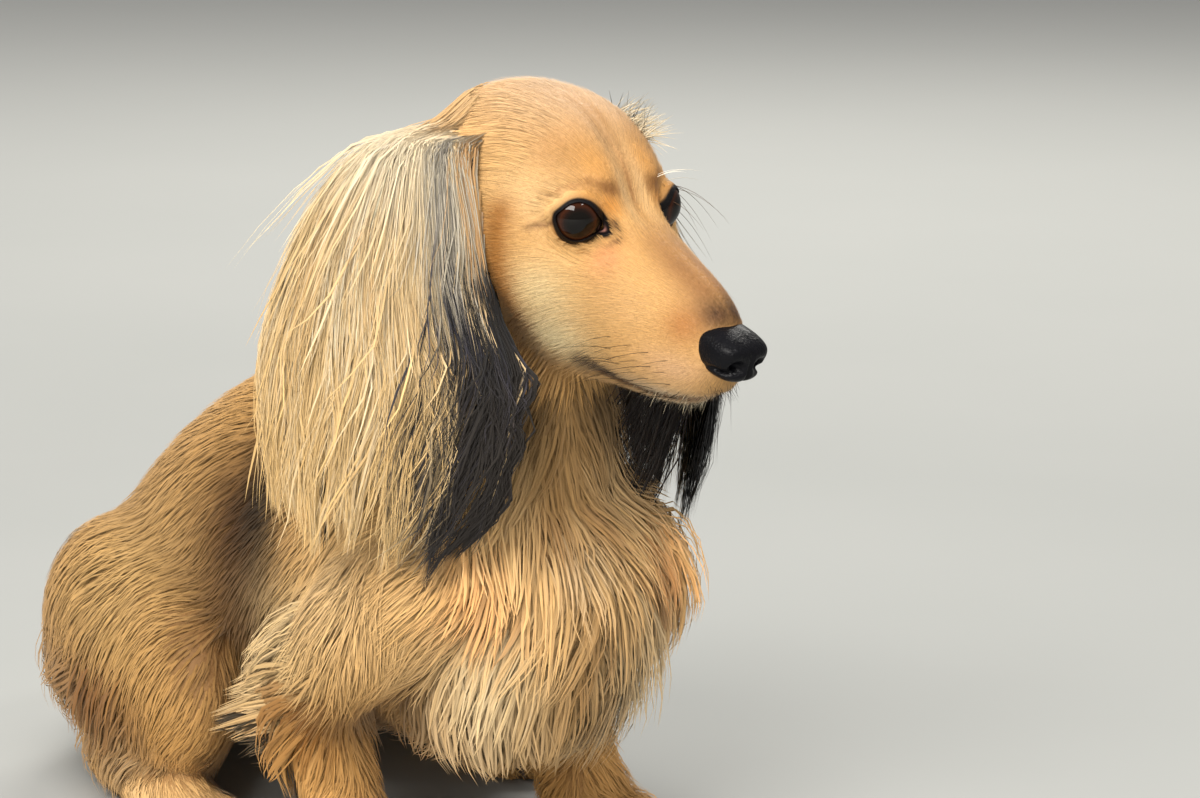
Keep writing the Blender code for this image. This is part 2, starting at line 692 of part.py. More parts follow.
def mirrored_head(shape, side):
    """A shape given for the left side of the head frame, placed in the world on either side."""
    points, faces = mirrored(shape, side)
    return head_to_world(points), faces


# Long coat

def ear_locks(side, draw):
    """Rows of locks down the outside of the ear, each row lying over the roots of the next."""
    locks = []
    for row, first in enumerate(EAR_ROWS):
        sweep = draw.uniform(0, 6)
        for i in range(EAR_LOCKS_A_ROW):
            s = 0.04 + 0.92 * (i + 0.5 + 0.2 * (-1) ** row) / EAR_LOCKS_A_ROW
            last = min(first + EAR_LOCK_REACH, 0.99) + draw.uniform(-0.06, 0.06)
            t = np.linspace(first, last, LOCK_STEPS)
            share = np.linspace(0, 1, LOCK_STEPS)
            wander = s + EAR_LOCK_WAVE * np.sin(4 * share + sweep + 0.3 * i)
            wander = wander + draw.uniform(-0.02, 0.02) * share
            middle, outward = ear_sheet(wander, t)
            path = middle + outward * (0.0006 + EAR_LOCK_RISE * share)[:, None]
            width = EAR_LOCK_WIDTH * draw.uniform(0.85, 1.0) * (0.8 + 0.2 * row)
            locks.append(lock(path, width, LOCK_THICK, outward[:-1]))
    return [mirrored_head(piece, side) for piece in locks]


def chest_front(y, z):
    """Where the torso's front surface stands for a place across and up, or far back where there is none."""
    x = np.linspace(TORSO[0, 0], 0.0, 200)
    points = np.stack([x, np.full_like(x, y), np.full_like(x, z)], 1)
    inside = torso_level(points)[0] < 1
    return x[np.argmax(inside)] if inside.any() else -1.0


def bib_locks(draw):
    locks = []
    for row, z in enumerate(BIB_ROWS):
        for i in range(BIB_LOCKS_A_ROW):
            y = BIB_SPACING * (i - 0.5 * (BIB_LOCKS_A_ROW - 1) + ROW_SHIFT * (-1) ** row)
            root = np.array([chest_front(y, z) - SUNK, y, z + draw.uniform(-BIB_SCATTER, BIB_SCATTER)])
            length = BIB_LENGTH * draw.uniform(0.85, 1.15)
            length *= 1 - BIB_SHORTER * abs(y)
            bend = [0, draw.uniform(-0.003, 0.003), 0]
            path = falling(root, [0.30, BIB_FANNED * y, -0.92], length, LOCK_DROOP, bend)
            front = np.array([chest_front(*point[1:]) for point in path])
            path[1:, 0] = np.maximum(path[:, 0], front + BIB_RISE * np.linspace(0.2, 1, len(path)))[1:]
            width = LOCK_WIDTH * draw.uniform(0.9, 1.1)
            locks.append(lock(path, width, LOCK_THICK, [1.0, BIB_FACING * y, 0.2]))
    return locks


def belly_locks(draw):
    locks = []
    for i in range(BELLY_LOCKS):
        for side in (-1, 1):
            x = BELLY_FIRST - BELLY_SPACING * i + draw.uniform(-0.004, 0.004)
            bottom = smooth_rows(np.array([x]), TORSO)[0, 3]
            root = np.array([x, side * BELLY_APART, bottom + SUNK])
            length = BELLY_LENGTH * draw.uniform(0.9, 1.1)
            path = falling(root, [-0.5, 0.096 * side, -0.8], length, LOCK_DROOP, [-0.004, 0, 0])
            locks.append(lock(path, LOCK_WIDTH, LOCK_THICK, [0.0, side, -0.2]))
    return locks


def ruff_locks(draw):
    locks = []
    for row, z in enumerate(RUFF_HEIGHTS):
        for i in range(RUFF_LOCKS_A_ROW):
            turn = RUFF_ROUND * ((i + 0.5) / RUFF_LOCKS_A_ROW * 2 - 1) + RUFF_SHIFT * (-1) ** row
            share = float(np.interp(z, NECK[:, 2], np.linspace(0, 1, len(NECK))))
            row_at = along_rows([share], NECK)[0]
            out = np.array([math.cos(turn) * row_at[4], math.sin(turn) * row_at[3], 0.0])
            root = np.array([row_at[0], row_at[1], z]) + out * (1 - SUNK / np.linalg.norm(out))
            direction = unit(out) * RUFF_OUT + [0, 0, -0.90]
            length = RUFF_LENGTH * draw.uniform(0.9, 1.15)
            path = clear_of_torso(falling(root, direction, length, LOCK_DROOP, [0, 0, 0]), TORSO_CLEAR)
            locks.append(lock(path, RUFF_WIDTH, LOCK_THICK, unit(out)))
    return locks


def fringe_locks(side, draw):
    """The feathering behind the upper arm, elbow and forearm."""
    locks = []
    for i in range(FRINGE_LOCKS):
        for column in (-1, 1):
            share = FRINGE_FROM + FRINGE_SPAN * (i + ROW_SHIFT * column) / (FRINGE_LOCKS - 1)
            share += draw.uniform(-0.01, 0.01)
            centre, out, reach = tube_point(UPPER_ARM, share, math.pi * (0.5 - 0.20 * column))
            out = out if out[0] < 0 else out - 2 * np.array([out[0], 0, out[2]])
            root = centre + out * (reach - SUNK)
            direction = [-0.62, 0.20 + 0.20 * column, -0.70]
            length = FRINGE_LENGTH * draw.uniform(0.85, 1.1) * (1 - 0.25 * i / FRINGE_LOCKS)
            path = falling(root, direction, length, FRINGE_DROOP, [0, 0.002 * column, 0])
            path = clear_of_torso(path, TORSO_CLEAR)
            locks.append(lock(path, LOCK_WIDTH, LOCK_THICK, [-0.3, 1.0, 0.3]))
    return [mirrored(piece, side) for piece in locks]


def trouser_locks(side, draw):
    """The long hair at the back and lower edge of the thigh, down to the floor."""
    locks = []
    for i in range(TROUSER_LOCKS):
        for column in (0, 1):
            share = TROUSER_FROM + TROUSER_SPAN * (i + 0.5 * column) / TROUSER_LOCKS
            turn = 0.15 - 0.50 * column + draw.uniform(-0.06, 0.06)
            centre, out, reach = tube_point(THIGH, share, turn)
            root = centre + out * (reach - SUNK)
            direction = [-0.04, 0.14 + 0.12 * out[1], -0.97]
            length = min(TROUSER_LENGTH * draw.uniform(0.85, 1.15), 0.98 * root[2])
            path = falling(root, direction, length, 0.0, [-0.003, 0.001, 0])
            path[:, 2] = np.maximum(path[:, 2], 0.0016 + 0.0010 * column)
            locks.append(lock(path, LOCK_WIDTH, LOCK_THICK, [-0.2, 1.0, 0.1]))
    return [mirrored(piece, side) for piece in locks]


def plume_locks(draw):
    """The tail's feathering, lying out to both sides of it on the floor."""
    locks = []
    for i in range(PLUME_LOCKS):
        for side in (-1, 1):
            share = PLUME_FROM + PLUME_SPAN * (i + ROW_SHIFT * side) / PLUME_LOCKS
            at = along_rows([share - 0.01, share, share + 0.01], TAIL)
            tangent = unit(at[2, :3] - at[0, :3])
            beside = unit(np.cross([0, 0, 1.0], tangent)) * side
            root = at[1, :3] + beside * (at[1, 4] - SUNK)
            length = PLUME_LENGTH * draw.uniform(0.8, 1.1) * (1 - PLUME_SHORTER * share)
            bend = -0.010 * beside + 0.006 * tangent
            path = falling(root, tangent + PLUME_FANNED * beside, length, 0.0, bend)
            # the tips lie just over the floor, every other one a little higher
            fall = np.linspace(0, 1, len(path))
            path[:, 2] = root[2] * (1 - fall) + (0.0030 + 0.0012 * (i % 2)) * fall
            locks.append(lock(path, LOCK_WIDTH, LOCK_THICK, [0, 0, 1.0]))
    return locks


# The nodes, in the order in which they are cut clear of each other

COATS = {
    "cream": material("cream_coat", (0.72, 0.47, 0.24), 0.75),
    "pale": material("pale_coat", (0.80, 0.60, 0.36), 0.75),
    "dark": material("nose_leather", (0.02, 0.02, 0.025), 0.35),
    "eye": material("eye", (0.06, 0.02, 0.01), 0.08),
}


def toed(rows, around, along, side):
    """A foot: its tube, four toes and their claws, for one side."""
    end = rows[-1, :3]
    pieces = [tube(rows, around, along, [0, 1, 0])]
    for ahead, beside in TOES:
        centre = np.array([end[0] + ahead, end[1] + beside, TOE_SIZE[2] - TOE_PRESSED])
        pieces.append(ellipsoid(centre, TOE_SIZE, 7, 4))
        root = centre + [TOE_SIZE[0] - CLAW_SUNK, 0, 0.0010]
        reach = np.linspace(0, 1, len(CLAW_TAPER))[:, None]
        path = root + reach * [CLAW_LENGTH, 0.0, 0.0] - reach**2 * [0.0, 0.0, CLAW_DROP]
        size = np.array(CLAW_TAPER)[:, None] * CLAW_THICK
        pieces.append(tube(np.hstack([path, size, size]), 4, 3, [0, 1, 0]))
    return [mirrored(piece, side) for piece in pieces]


def build_dog():
    draw = np.random.default_rng(SEED)
    node("torso", "cream", [torso_shape(22, 19)] + bib_locks(draw) + belly_locks(draw))
    for name, side in (("left", 1), ("right", -1)):
        eye = ellipsoid(EYE_SET * [1, side, 1], [EYE_RADIUS] * 3, 14, 7)
        node(f"eye_{name}", "eye", [(head_to_world(eye[0]), eye[1])])
    node("nose", "dark", [nose_shape()], nostril_cuts())
    face = [head_shape(24, 21), lid_shape(1, 14, 5), lid_shape(-1, 14, 5)]
    node("lower_jaw", "cream", [head_shape(24, 21, narrower=0.0012)], kept=mouth_block(GAP))
    node("head", "cream", face, [mouth_block(0.0)])
    node("neck", "cream", [tube(NECK, 18, 7, [0, 1, 0])] + ruff_locks(draw))
    for name, side in (("left", 1), ("right", -1)):
        thigh = mirrored(tube(THIGH, 14, 8, [0, 1, 0]), side)
        node(f"thigh_{name}", "cream", [thigh] + trouser_locks(side, draw))
        node(f"hind_foot_{name}", "cream", toed(HIND_FOOT, 8, 6, side))
        arm = mirrored(tube(UPPER_ARM, 12, 10, [0, 1, 0]), side)
        node(f"foreleg_{name}", "cream", [arm] + fringe_locks(side, draw))
        node(f"forepaw_{name}", "cream", toed(PAW, 8, 5, side))
        node(f"ear_{name}", "pale", [ear_leather(side)] + ear_locks(side, draw))
    node("tail", "cream", [tube(TAIL, 10, 12, [0, 0, 1])] + plume_locks(draw))


def centre_on_floor():
    """Moves the whole dog so that the origin is under the middle of its box."""
    meshes = [obj.data for obj in bpy.data.objects]
    corners = []
    for mesh in meshes:
        found = np.empty(len(mesh.vertices) * 3)
        mesh.vertices.foreach_get("co", found)
        corners.append(found.reshape(-1, 3))
    everything = np.concatenate(corners)
    middle = 0.5 * (everything.min(0) + everything.max(0))
    middle[2] = everything[:, 2].min()
    for mesh, points in zip(meshes, corners):
        mesh.vertices.foreach_set("co", (points - middle).ravel())
        mesh.update()
    print("moved by", middle)


build_dog()
centre_on_floor()
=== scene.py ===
import json
import math

import bpy
import numpy as np
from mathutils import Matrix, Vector

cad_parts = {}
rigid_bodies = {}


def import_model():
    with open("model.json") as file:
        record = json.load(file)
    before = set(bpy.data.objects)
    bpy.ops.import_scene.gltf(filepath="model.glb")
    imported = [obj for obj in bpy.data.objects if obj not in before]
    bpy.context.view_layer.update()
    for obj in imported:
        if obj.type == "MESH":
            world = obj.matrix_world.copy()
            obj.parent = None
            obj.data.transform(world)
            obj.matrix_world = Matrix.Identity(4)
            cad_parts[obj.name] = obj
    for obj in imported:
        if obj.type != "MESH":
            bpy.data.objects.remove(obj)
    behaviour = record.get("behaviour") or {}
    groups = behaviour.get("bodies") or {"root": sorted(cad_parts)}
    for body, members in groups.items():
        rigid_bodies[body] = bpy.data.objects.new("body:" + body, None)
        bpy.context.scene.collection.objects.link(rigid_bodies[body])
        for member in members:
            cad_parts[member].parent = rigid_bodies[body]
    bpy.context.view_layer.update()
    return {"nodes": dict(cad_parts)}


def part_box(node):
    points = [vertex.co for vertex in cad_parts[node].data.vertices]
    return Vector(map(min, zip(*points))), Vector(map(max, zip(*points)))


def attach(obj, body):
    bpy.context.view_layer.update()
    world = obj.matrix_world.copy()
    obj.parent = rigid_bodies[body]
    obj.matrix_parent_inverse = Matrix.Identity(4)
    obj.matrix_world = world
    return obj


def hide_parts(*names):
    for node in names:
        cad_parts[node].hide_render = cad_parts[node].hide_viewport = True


for old in list(bpy.data.objects):
    bpy.data.objects.remove(old, do_unlink=True)
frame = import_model()
print("frame loaded,", len(frame["nodes"]), "solids")

# The dog's own space: metres, chest to +X, left side to +Y. The head has a space of its own,
# forward, left and up, with its origin midway between the eyeballs. Tables of places are in millimetres
head = {"origin": np.array([0.11, 0.006, 0.25]), "yaw": 7, "pitch": 12}
eye = {
    "radius": 0.0097, "centre": np.array([-0.0028, 0.0176, 0.0]), "gaze": np.array([0.83, 0.55, 0.02]),
    "iris": 0.0068, "pupil": 0.0036,
}


def unit(vectors):
    return vectors / np.linalg.norm(vectors, axis=-1, keepdims=True)


def bell(x):  # 1 at 0, falling off to both sides
    return np.exp(-(x**2))


def fade(x, start, end):  # 0 before start, 1 after end, smooth between
    share = np.clip((x - start) / (end - start), 0, 1)
    return share * share * (3 - 2 * share)


def mixed(first, second, share):
    return first * (1 - share[..., None]) + second * share[..., None]


def metres(*rows):  # a table in millimetres, made metres
    return np.array(rows) / 1000


def mirrors(side):  # what turns a place round to the side of each number's sign
    return np.stack([np.ones(len(side)), side, np.ones(len(side))], 1)


def folded(points):  # every place brought over to the left side, and the side that it was on
    side = np.where(points[:, 1] < 0, -1, 1)
    return points * mirrors(side), side


def held(values, steps):  # the same value at every step of a tuft
    return np.repeat(values[:, None], steps, 1)


def headAxes():  # forward, left and up, turned by the yaw and dipped by the pitch
    yaw, pitch = math.radians(head["yaw"]), math.radians(head["pitch"])
    forward = np.array([math.cos(yaw) * math.cos(pitch), math.sin(yaw) * math.cos(pitch), -math.sin(pitch)])
    left = np.array([-math.sin(yaw), math.cos(yaw), 0.0])
    return np.stack([forward, left, np.cross(forward, left)])


axesOfHead = headAxes()


def fromHead(points):
    return head["origin"] + np.asarray(points, float) @ axesOfHead


def toHead(points):
    return (points - head["origin"]) @ axesOfHead.T


# The solids were centred on the floor after they were made, so one eye tells how far they moved
low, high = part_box("eye_right")
moved = 0.5 * (np.array(low) + np.array(high)) - fromHead(eye["centre"] * [1, -1, 1])
print("solids moved by", np.round(moved, 5))


# Camera and lights
camera = {
    "azimuth": 55, "elevation": 12, "focal": 3900.0, "picture": (1200, 798), "sensor": 36.0,
    "eyeFront": np.array([0.005, -0.023, 0.0]), "eyePixel": (578, 224), "distance": 1.3,
}
room = {"colour": (0.93, 0.91, 0.88, 1), "strength": 0.36}
lights = {
    # where from, size, power and warmth of each
    "key": ((0.84, -1.3, 1.42), 1.25, 39, (1.0, 0.97, 0.92)),
    "front": ((1.3, -1.1, 0.3), 1.8, 10, (1.0, 0.95, 0.88)),
    "sky": ((0.0, -0.4, 2.4), 2.8, 46, (1.0, 0.98, 0.95)),
    "fill": ((1.43, 0.33, 1.83), 0.5, 9, (1.0, 0.98, 0.95)),
    "rim": ((-1.3, 1.3, 1.5), 1.2, 29, (1.0, 0.97, 0.9)),
}


def aimed(obj, at):  # turns a camera or light to face a place
    obj.rotation_mode = "QUATERNION"
    obj.rotation_quaternion = (obj.location - Vector(at)).to_track_quat("Z", "Y")


def added(name, data):  # an object with this data, in the scene
    obj = bpy.data.objects.new(name, data)
    bpy.context.scene.collection.objects.link(obj)
    return obj


def addCamera():  # stands back from the near eye along the view, so that the eye falls on its pixel
    az, el = math.radians(camera["azimuth"]), math.radians(camera["elevation"])
    back = np.array([math.sin(az) * math.cos(el), -math.cos(az) * math.cos(el), math.sin(el)])
    right = np.array([math.cos(az), math.sin(az), 0.0])
    up = np.cross(back, right)
    far, focal = camera["distance"], camera["focal"]
    wide, tall = camera["picture"]
    offRight = (camera["eyePixel"][0] - wide / 2) / focal * far
    offUp = (camera["eyePixel"][1] - tall / 2) / focal * far
    data = bpy.data.cameras.new("camera")
    data.sensor_width = camera["sensor"]
    data.lens = focal / wide * camera["sensor"]
    data.clip_start = 0.05
    obj = added("camera", data)
    obj.location = fromHead(camera["eyeFront"]) + back * far - right * offRight + up * offUp + moved
    aimed(obj, np.array(obj.location) - back)
    bpy.context.scene.camera = obj


def addLights():
    for name, (place, size, power, colour) in lights.items():
        data = bpy.data.lights.new(name, "AREA")
        data.shape, data.size, data.size_y = "RECTANGLE", size, 0.45 * size
        data.energy, data.color = power, colour
        obj = added(name, data)
        obj.visible_glossy = name not in ("front", "sky")  # these have no reflection in the eyes
        obj.location = place
        aimed(obj, np.array([0.0, 0.0, 0.15]))
    world = bpy.data.worlds.new("studio")
    world.use_nodes = True
    background = world.node_tree.nodes["Background"].inputs
    background["Color"].default_value = room["colour"]
    background["Strength"].default_value = room["strength"]
    bpy.context.scene.world = world
    bpy.context.scene.view_settings.view_transform = "Standard"


addCamera()
addLights()
print("camera and lights set")


# Shader maths: a wrapped socket whose operators add Math nodes
class Value:
    def __init__(self, shader, socket):
        self.shader, self.socket = shader, socket

    def maths(self, operation, *others):
        return self.shader.add("Math", dict(enumerate((self, *others))), operation=operation)["Value"]

    def __add__(self, other):
        return self.maths("ADD", other)

    def __sub__(self, other):
        return self.maths("SUBTRACT", other)

    def __mul__(self, other):
        return self.maths("MULTIPLY", other)

    def __pow__(self, other):
        return self.maths("POWER", other)

    __radd__ = __add__


class Shader:
    def __init__(self, name, roughness, **fixed):
        self.material = bpy.data.materials.new(name)
        self.material.use_nodes = True
        self.tree = self.material.node_tree
        self.surface = self.tree.nodes["Principled BSDF"]
        self.surface.inputs["Roughness"].default_value = roughness
        for socket, value in fixed.items():
            self.surface.inputs[socket.replace("_", " ")].default_value = value

    def connect(self, inlet, value):  # a wrapped socket is linked, anything else is the inlet's own value
        if isinstance(value, Value):
            self.tree.links.new(value.socket, inlet)
        else:
            inlet.default_value = value

    def add(self, kind, inputs, **settings):
        node = self.tree.nodes.new("ShaderNode" + kind)
        for key, value in settings.items():
            setattr(node, key, value)
        for key, value in inputs.items():
            self.connect(node.inputs[key], value)
        return {out.name: Value(self, out) for out in node.outputs}

    def ramp(self, at, places):  # colours at places from 0 to 1
        made = self.add("ValToRGB", {"Fac": at})["Color"]
        stops = made.socket.node.color_ramp.elements
        while len(stops) < len(places):
            stops.new(0.5)
        for stop, (place, colour) in zip(stops, places):
            stop.position, stop.color = place, (*colour, 1.0)
        return made

    def place(self):
        return self.add("TexCoord", {})["Object"]

    def coat(self):  # the colours painted on the mesh
        return self.add("Attribute", {}, attribute_name="coat")["Color"]

    def noise(self, place, scale, detail):
        return self.add("TexNoise", {"Vector": place, "Scale": scale, "Detail": detail})["Fac"]

    def vectors(self, operation, inputs):
        return self.add("VectorMath", inputs, operation=operation)

    def blend(self, share, first, second):
        mix = self.tree.nodes.new("ShaderNodeMix")
        mix.data_type = "RGBA"
        self.connect(mix.inputs[0], share)
        for key, value in ((6, first), (7, second)):
            self.connect(mix.inputs[key], value if isinstance(value, Value) else (*value, 1.0))
        return Value(self, mix.outputs[2])

    def feed(self, socket, value):
        self.tree.links.new(value.socket, self.surface.inputs[socket])

    def bump(self, height, distance, strength=1.0):
        inputs = {"Height": height, "Distance": distance, "Strength": strength}
        self.feed("Normal", self.add("Bump", inputs)["Normal"])


def tint(red, green, blue):  # a colour as the screen shows it, 0 to 255, made linear
    share = np.array([red, green, blue]) / 255
    return np.where(share <= 0.04045, share / 12.92, ((share + 0.055) / 1.055) ** 2.4)


# The floor's grey, with soft clouds, runs out to a lighter one far away
stage = {
    "half": 9.0, "from": 0.6, "to": 5.0,
    "near": (0.31, 0.32, 0.31), "nearToo": (0.35, 0.355, 0.345), "far": (0.72, 0.73, 0.71),
}


def floorMaterial():
    shader = Shader("studio_floor", 0.7, Specular_IOR_Level=0.3)
    place = shader.place()
    near = shader.blend(shader.noise(place, 3.0, 3.0), stage["near"], stage["nearToo"])
    away = shader.vectors("LENGTH", {0: place})["Value"]
    reach = {"Value": away, "From Min": stage["from"], "From Max": stage["to"]}
    away = shader.add("MapRange", reach)["Result"]
    shader.feed("Base Color", shader.blend(away, near, stage["far"]))
    return shader.material


def addFloor():
    corners = [(x * stage["half"], y * stage["half"], 0) for x, y in ((-1, -1), (1, -1), (1, 1), (-1, 1))]
    mesh = bpy.data.meshes.new("floor")
    mesh.from_pydata(corners, [], [(0, 1, 2, 3)])
    mesh.materials.append(floorMaterial())
    added("floor", mesh)


addFloor()


# Curves through rows of numbers, and forms of flesh: a point for each share along and turn round
def smoothRows(at, table):  # a cubic through the rows of a table whose first column is the position
    place, values = table[:, 0], table[:, 1:]
    way = np.sign(place[-1] - place[0])
    place, at = place * way, at * way
    slope = np.gradient(values, place, axis=0)
    i = np.clip(np.searchsorted(place, at) - 1, 0, len(place) - 2)
    step = (place[i + 1] - place[i])[:, None]
    s = (at - place[i])[:, None] / step
    return (
        values[i] * (2 * s**3 - 3 * s**2 + 1) + values[i + 1] * (3 * s**2 - 2 * s**3)
        + slope[i] * step * (s**3 - 2 * s**2 + s) + slope[i + 1] * step * (s**3 - s**2)
    )


def alongRows(share, rows):  # the same through rows counted evenly from 0 to 1
    return smoothRows(np.asarray(share, float), np.column_stack([np.linspace(0, 1, len(rows)), rows]))


def wrapped(along, around, endpoint=False):  # a share along and a turn for each point of rings
    share, turn = np.linspace(0, 1, along), np.linspace(0, 2 * math.pi, around, endpoint=endpoint)
    return [grid.ravel() for grid in np.meshgrid(share, turn, indexing="ij")]


def eggForm(share, turn, table, inset):  # sections across an axis, taller above their widest level than below
    along = table[0, 0] + (table[-1, 0] - table[0, 0]) * share
    row = smoothRows(along, table)
    tall = np.where(np.sin(turn) > 0, row[:, 1] - row[:, 2], row[:, 2] - row[:, 3]) - inset
    across = row[:, 0] + np.cos(turn) * np.clip(row[:, 4] - inset, 0.002, None)
    return np.stack([along, across, row[:, 2] + np.sin(turn) * np.clip(tall, 0.002, None)], 1)


def tubeForm(share, turn, rows, inset, sideways=(0.0, 1.0, 0.0), side=1):
    # an oval carried along a centre line, wide along the sideways direction and deep across it
    at = alongRows(share, rows)
    step = 0.02
    ahead = alongRows(np.clip(share + step, 0, 1), rows) - alongRows(np.clip(share - step, 0, 1), rows)
    tangent = unit(ahead[:, :3])
    beside = unit(np.array(sideways) - tangent * (tangent @ np.array(sideways))[:, None])
    over = np.cross(tangent, beside)
    width = (np.cos(turn) * np.clip(at[:, 3] - inset, 0.0015, None))[:, None]
    depth = (np.sin(turn) * np.clip(at[:, 4] - inset, 0.0015, None))[:, None]
    return (at[:, :3] + beside * width + over * depth) * [1, side, 1]


# x, centre y, top z, widest z, bottom z, half width
torsoRows = metres(
    [101, 0, 125, 112, 99, 12], [96, 0, 136, 112, 85, 27], [84, 0, 150, 113, 62, 42],
    [65, 0, 164, 114, 44, 51], [40, 0, 178, 114, 37, 56], [10, 0, 187, 112, 37, 60],
    [-25, -1, 187, 108, 35, 62], [-60, -3, 183, 100, 28, 63], [-95, -5, 169, 88, 19, 64],
    [-130, -7, 145, 72, 5, 63], [-160, -8, 111, 54, -3, 59], [-181, -8, 76, 38, -2, 46],
    [-193, -8, 50, 26, 2, 29],
)
# forward, left, top, widest and bottom up, half width, in the head's space
headRows = metres(
    [-80, 0, 16, -6, -20, 16], [-70, 0, 24.5, -7, -33, 26], [-58, 0, 30, -8, -41, 33.5],
    [-45, 0, 32.5, -9, -46, 37.5], [-30, 0, 32.8, -11, -49, 38.5], [-15, 0, 29, -13, -51, 37],
    [-3, 0, 20.5, -17, -53, 33], [8, 0, 9, -22, -54.5, 27.5], [18, 0, 2, -27, -55.5, 23.2],
    [30, 0, -2.2, -31, -55.5, 20.2], [42, 0, -5.8, -33, -54, 17.8], [52, 0, -10, -34, -51, 15.2],
    [59, 0, -15, -34, -47, 11.8],
)
# soft forms of the head: centre, reach and push, on both sides
headForms = metres(
    [8, 24, 0, 11, 9, 10, -3.5, -4, 0],  # eye socket
    [7, 15, 15, 9, 8, 6, 3, 1, 1.2],  # brow
    [-3, 0, 28, 20, 4.5, 15, -0.4, 0, -1.1],  # furrow
    [12, 0, 9, 9, 6, 8, -1, 0, -1.4],  # stop
    [-16, 33, -28, 17, 12, 15, 0, 3, 0],  # cheek
    [43, 15, -42, 16, 10, 8, 0, 1.8, 0],  # lip
    [-18, 32, 8, 14, 10, 12, 0, -2, 0],  # temple
    [16, 21, -13, 14, 6, 6, 0, 1, 0.6],  # cheekbone below the eye
    [-4, 16, -52, 20, 16, 12, 0, 1, -5],  # rear of the jaw
)
# x, y outwards, z, half width, half depth
upperArm = metres(
    [74, 30, 129, 18, 18], [68, 35, 122, 25, 27], [48, 43, 108, 24.5, 29], [26, 50, 90, 22, 25.5],
    [11, 53, 74, 20, 21], [10, 53, 58, 18, 19], [15, 52, 42, 16.5, 17], [21, 51, 30, 15.5, 16],
    [23, 50.5, 18, 13, 13],
)
paw = metres(
    [11, 50, 20, 11, 12], [21, 50.5, 18, 16.5, 16.5], [31, 51.5, 10, 18.5, 13.2],
    [39, 52.5, 7.8, 17, 10], [44, 53, 8, 12, 7],
)
thigh = metres(
    [-183, 38, 38, 17, 24], [-166, 48, 45, 29, 41], [-134, 56, 57, 32.5, 53], [-95, 62, 54, 30, 49],
    [-60, 67, 47, 23, 37], [-44, 69, 43, 13, 20],
)
hindFoot = metres(
    [-134, 66, 18, 8, 9], [-126, 66.5, 16, 13, 16], [-97, 69, 12, 14.5, 13.5],
    [-64, 73, 11, 16.5, 12.5], [-50, 74.5, 9.5, 16, 10], [-44, 75, 8, 11, 7],
)
neck = metres(
    [38, 0, 120, 46, 46], [42, 0, 142, 48, 50], [48, 1, 170, 43, 46], [56, 2, 198, 38.5, 40],
    [64, 3, 222, 35, 35], [70, 3, 238, 25, 26],
)
tail = metres(
    [-168, -6, 30, 16, 17], [-186, -6, 23, 15, 15], [-208, 0, 14, 13, 13.5], [-234, 14, 10.8, 11, 11],
    [-257, 40, 9.8, 9, 9.8], [-272, 74, 8.2, 6.5, 8.2], [-276, 96, 6, 3.5, 5.5],
)
toes = {
    "beside": (-0.0132, -0.0047, 0.0047, 0.0132), "ahead": (-0.004, 0.0015, 0.0015, -0.004),
    "half": np.array([0.0105, 0.006, 0.0082]), "lift": 0.007,
}
# The ear hangs between a front and a rear edge, from the root down, in the head's space
earFront = metres(
    [-40, 26, 17], [-37, 36, 12], [-24.6, 39, -10.5], [-15.4, 41, -28.5], [1.1, 42, -44],
    [11.8, 43, -52.4], [12.6, 44, -68.2], [7.7, 47, -99], [-2.4, 50, -124.2],
)
earRear = metres(
    [-69, 18, 8], [-80, 34, 4], [-93.5, 48, -18], [-95.8, 58, -36.6], [-94.6, 67, -57.4],
    [-93, 74, -78.3], [-90, 80, -98.9], [-80.4, 83, -113.5], [-69.2, 82, -128.2],
)
ear = {"bulge": 0.01, "leather": 0.6, "thick": 0.0044}


def earSheet(s, t):  # points of the hanging ear, s from its front edge to its rear, t from the root down
    front, rear = alongRows(np.clip(t, 0, 1), earFront), alongRows(np.clip(t, 0, 1), earRear)
    chord = rear - front
    outward = unit(np.cross([0, 0, 1.0], chord))
    outward = outward * np.sign(outward[:, 1:2])
    arch = ear["bulge"] * 4 * s * (1 - s) * (1.2 - 0.6 * t)
    below = np.clip(t - 1, 0, None)[:, None] * [0.0, 0.0, -0.13]
    return front + chord * s[:, None] + outward * arch[:, None] + below, outward


def earForm(share, turn, side):  # the flap: a flat oval section across the sheet, rounded at its lower edge
    s = 0.5 - 0.47 * np.cos(turn)
    reach = ear["leather"] * (0.8 + 0.2 * np.sin(math.pi * s))
    middle, outward = earSheet(s, share * reach)
    round = np.sign(np.sin(turn)) * np.abs(np.sin(turn)) ** 0.5
    half = 0.5 * ear["thick"] * round * np.sqrt(np.clip(1.02 - share**6, 0, 1))
    return fromHead((middle + outward * half[:, None]) * [1, side, 1])


def bellAround(points, centre, reach):
    return np.exp(-(((points - centre) / reach) ** 2).sum(-1))


def pushed(points, forms):  # each form moves points by a bell-shaped share of its push, on both sides
    for centre, reach, push in forms.reshape(-1, 3, 3):
        for side in (1, -1):
            mirror = [1, side, 1]
            weight = bellAround(points, centre * mirror, reach)
            points = points + weight[..., None] * (push * mirror)
    return points


def headForm(share, turn, inset=0.0012):
    return fromHead(pushed(eggForm(share, turn, headRows, inset), headForms))


# how deep the skin lies below the coat's usual surface
depth = {
    "torso": 0.007, "neck": 0.007, "tail": 0.0045,
    "arm": 0.0045, "paw": 0.0012, "thigh": 0.0065, "foot": 0.0022,
}


def limb(rows, inset, side):
    return lambda share, turn: tubeForm(share, turn, rows, inset, side=side)


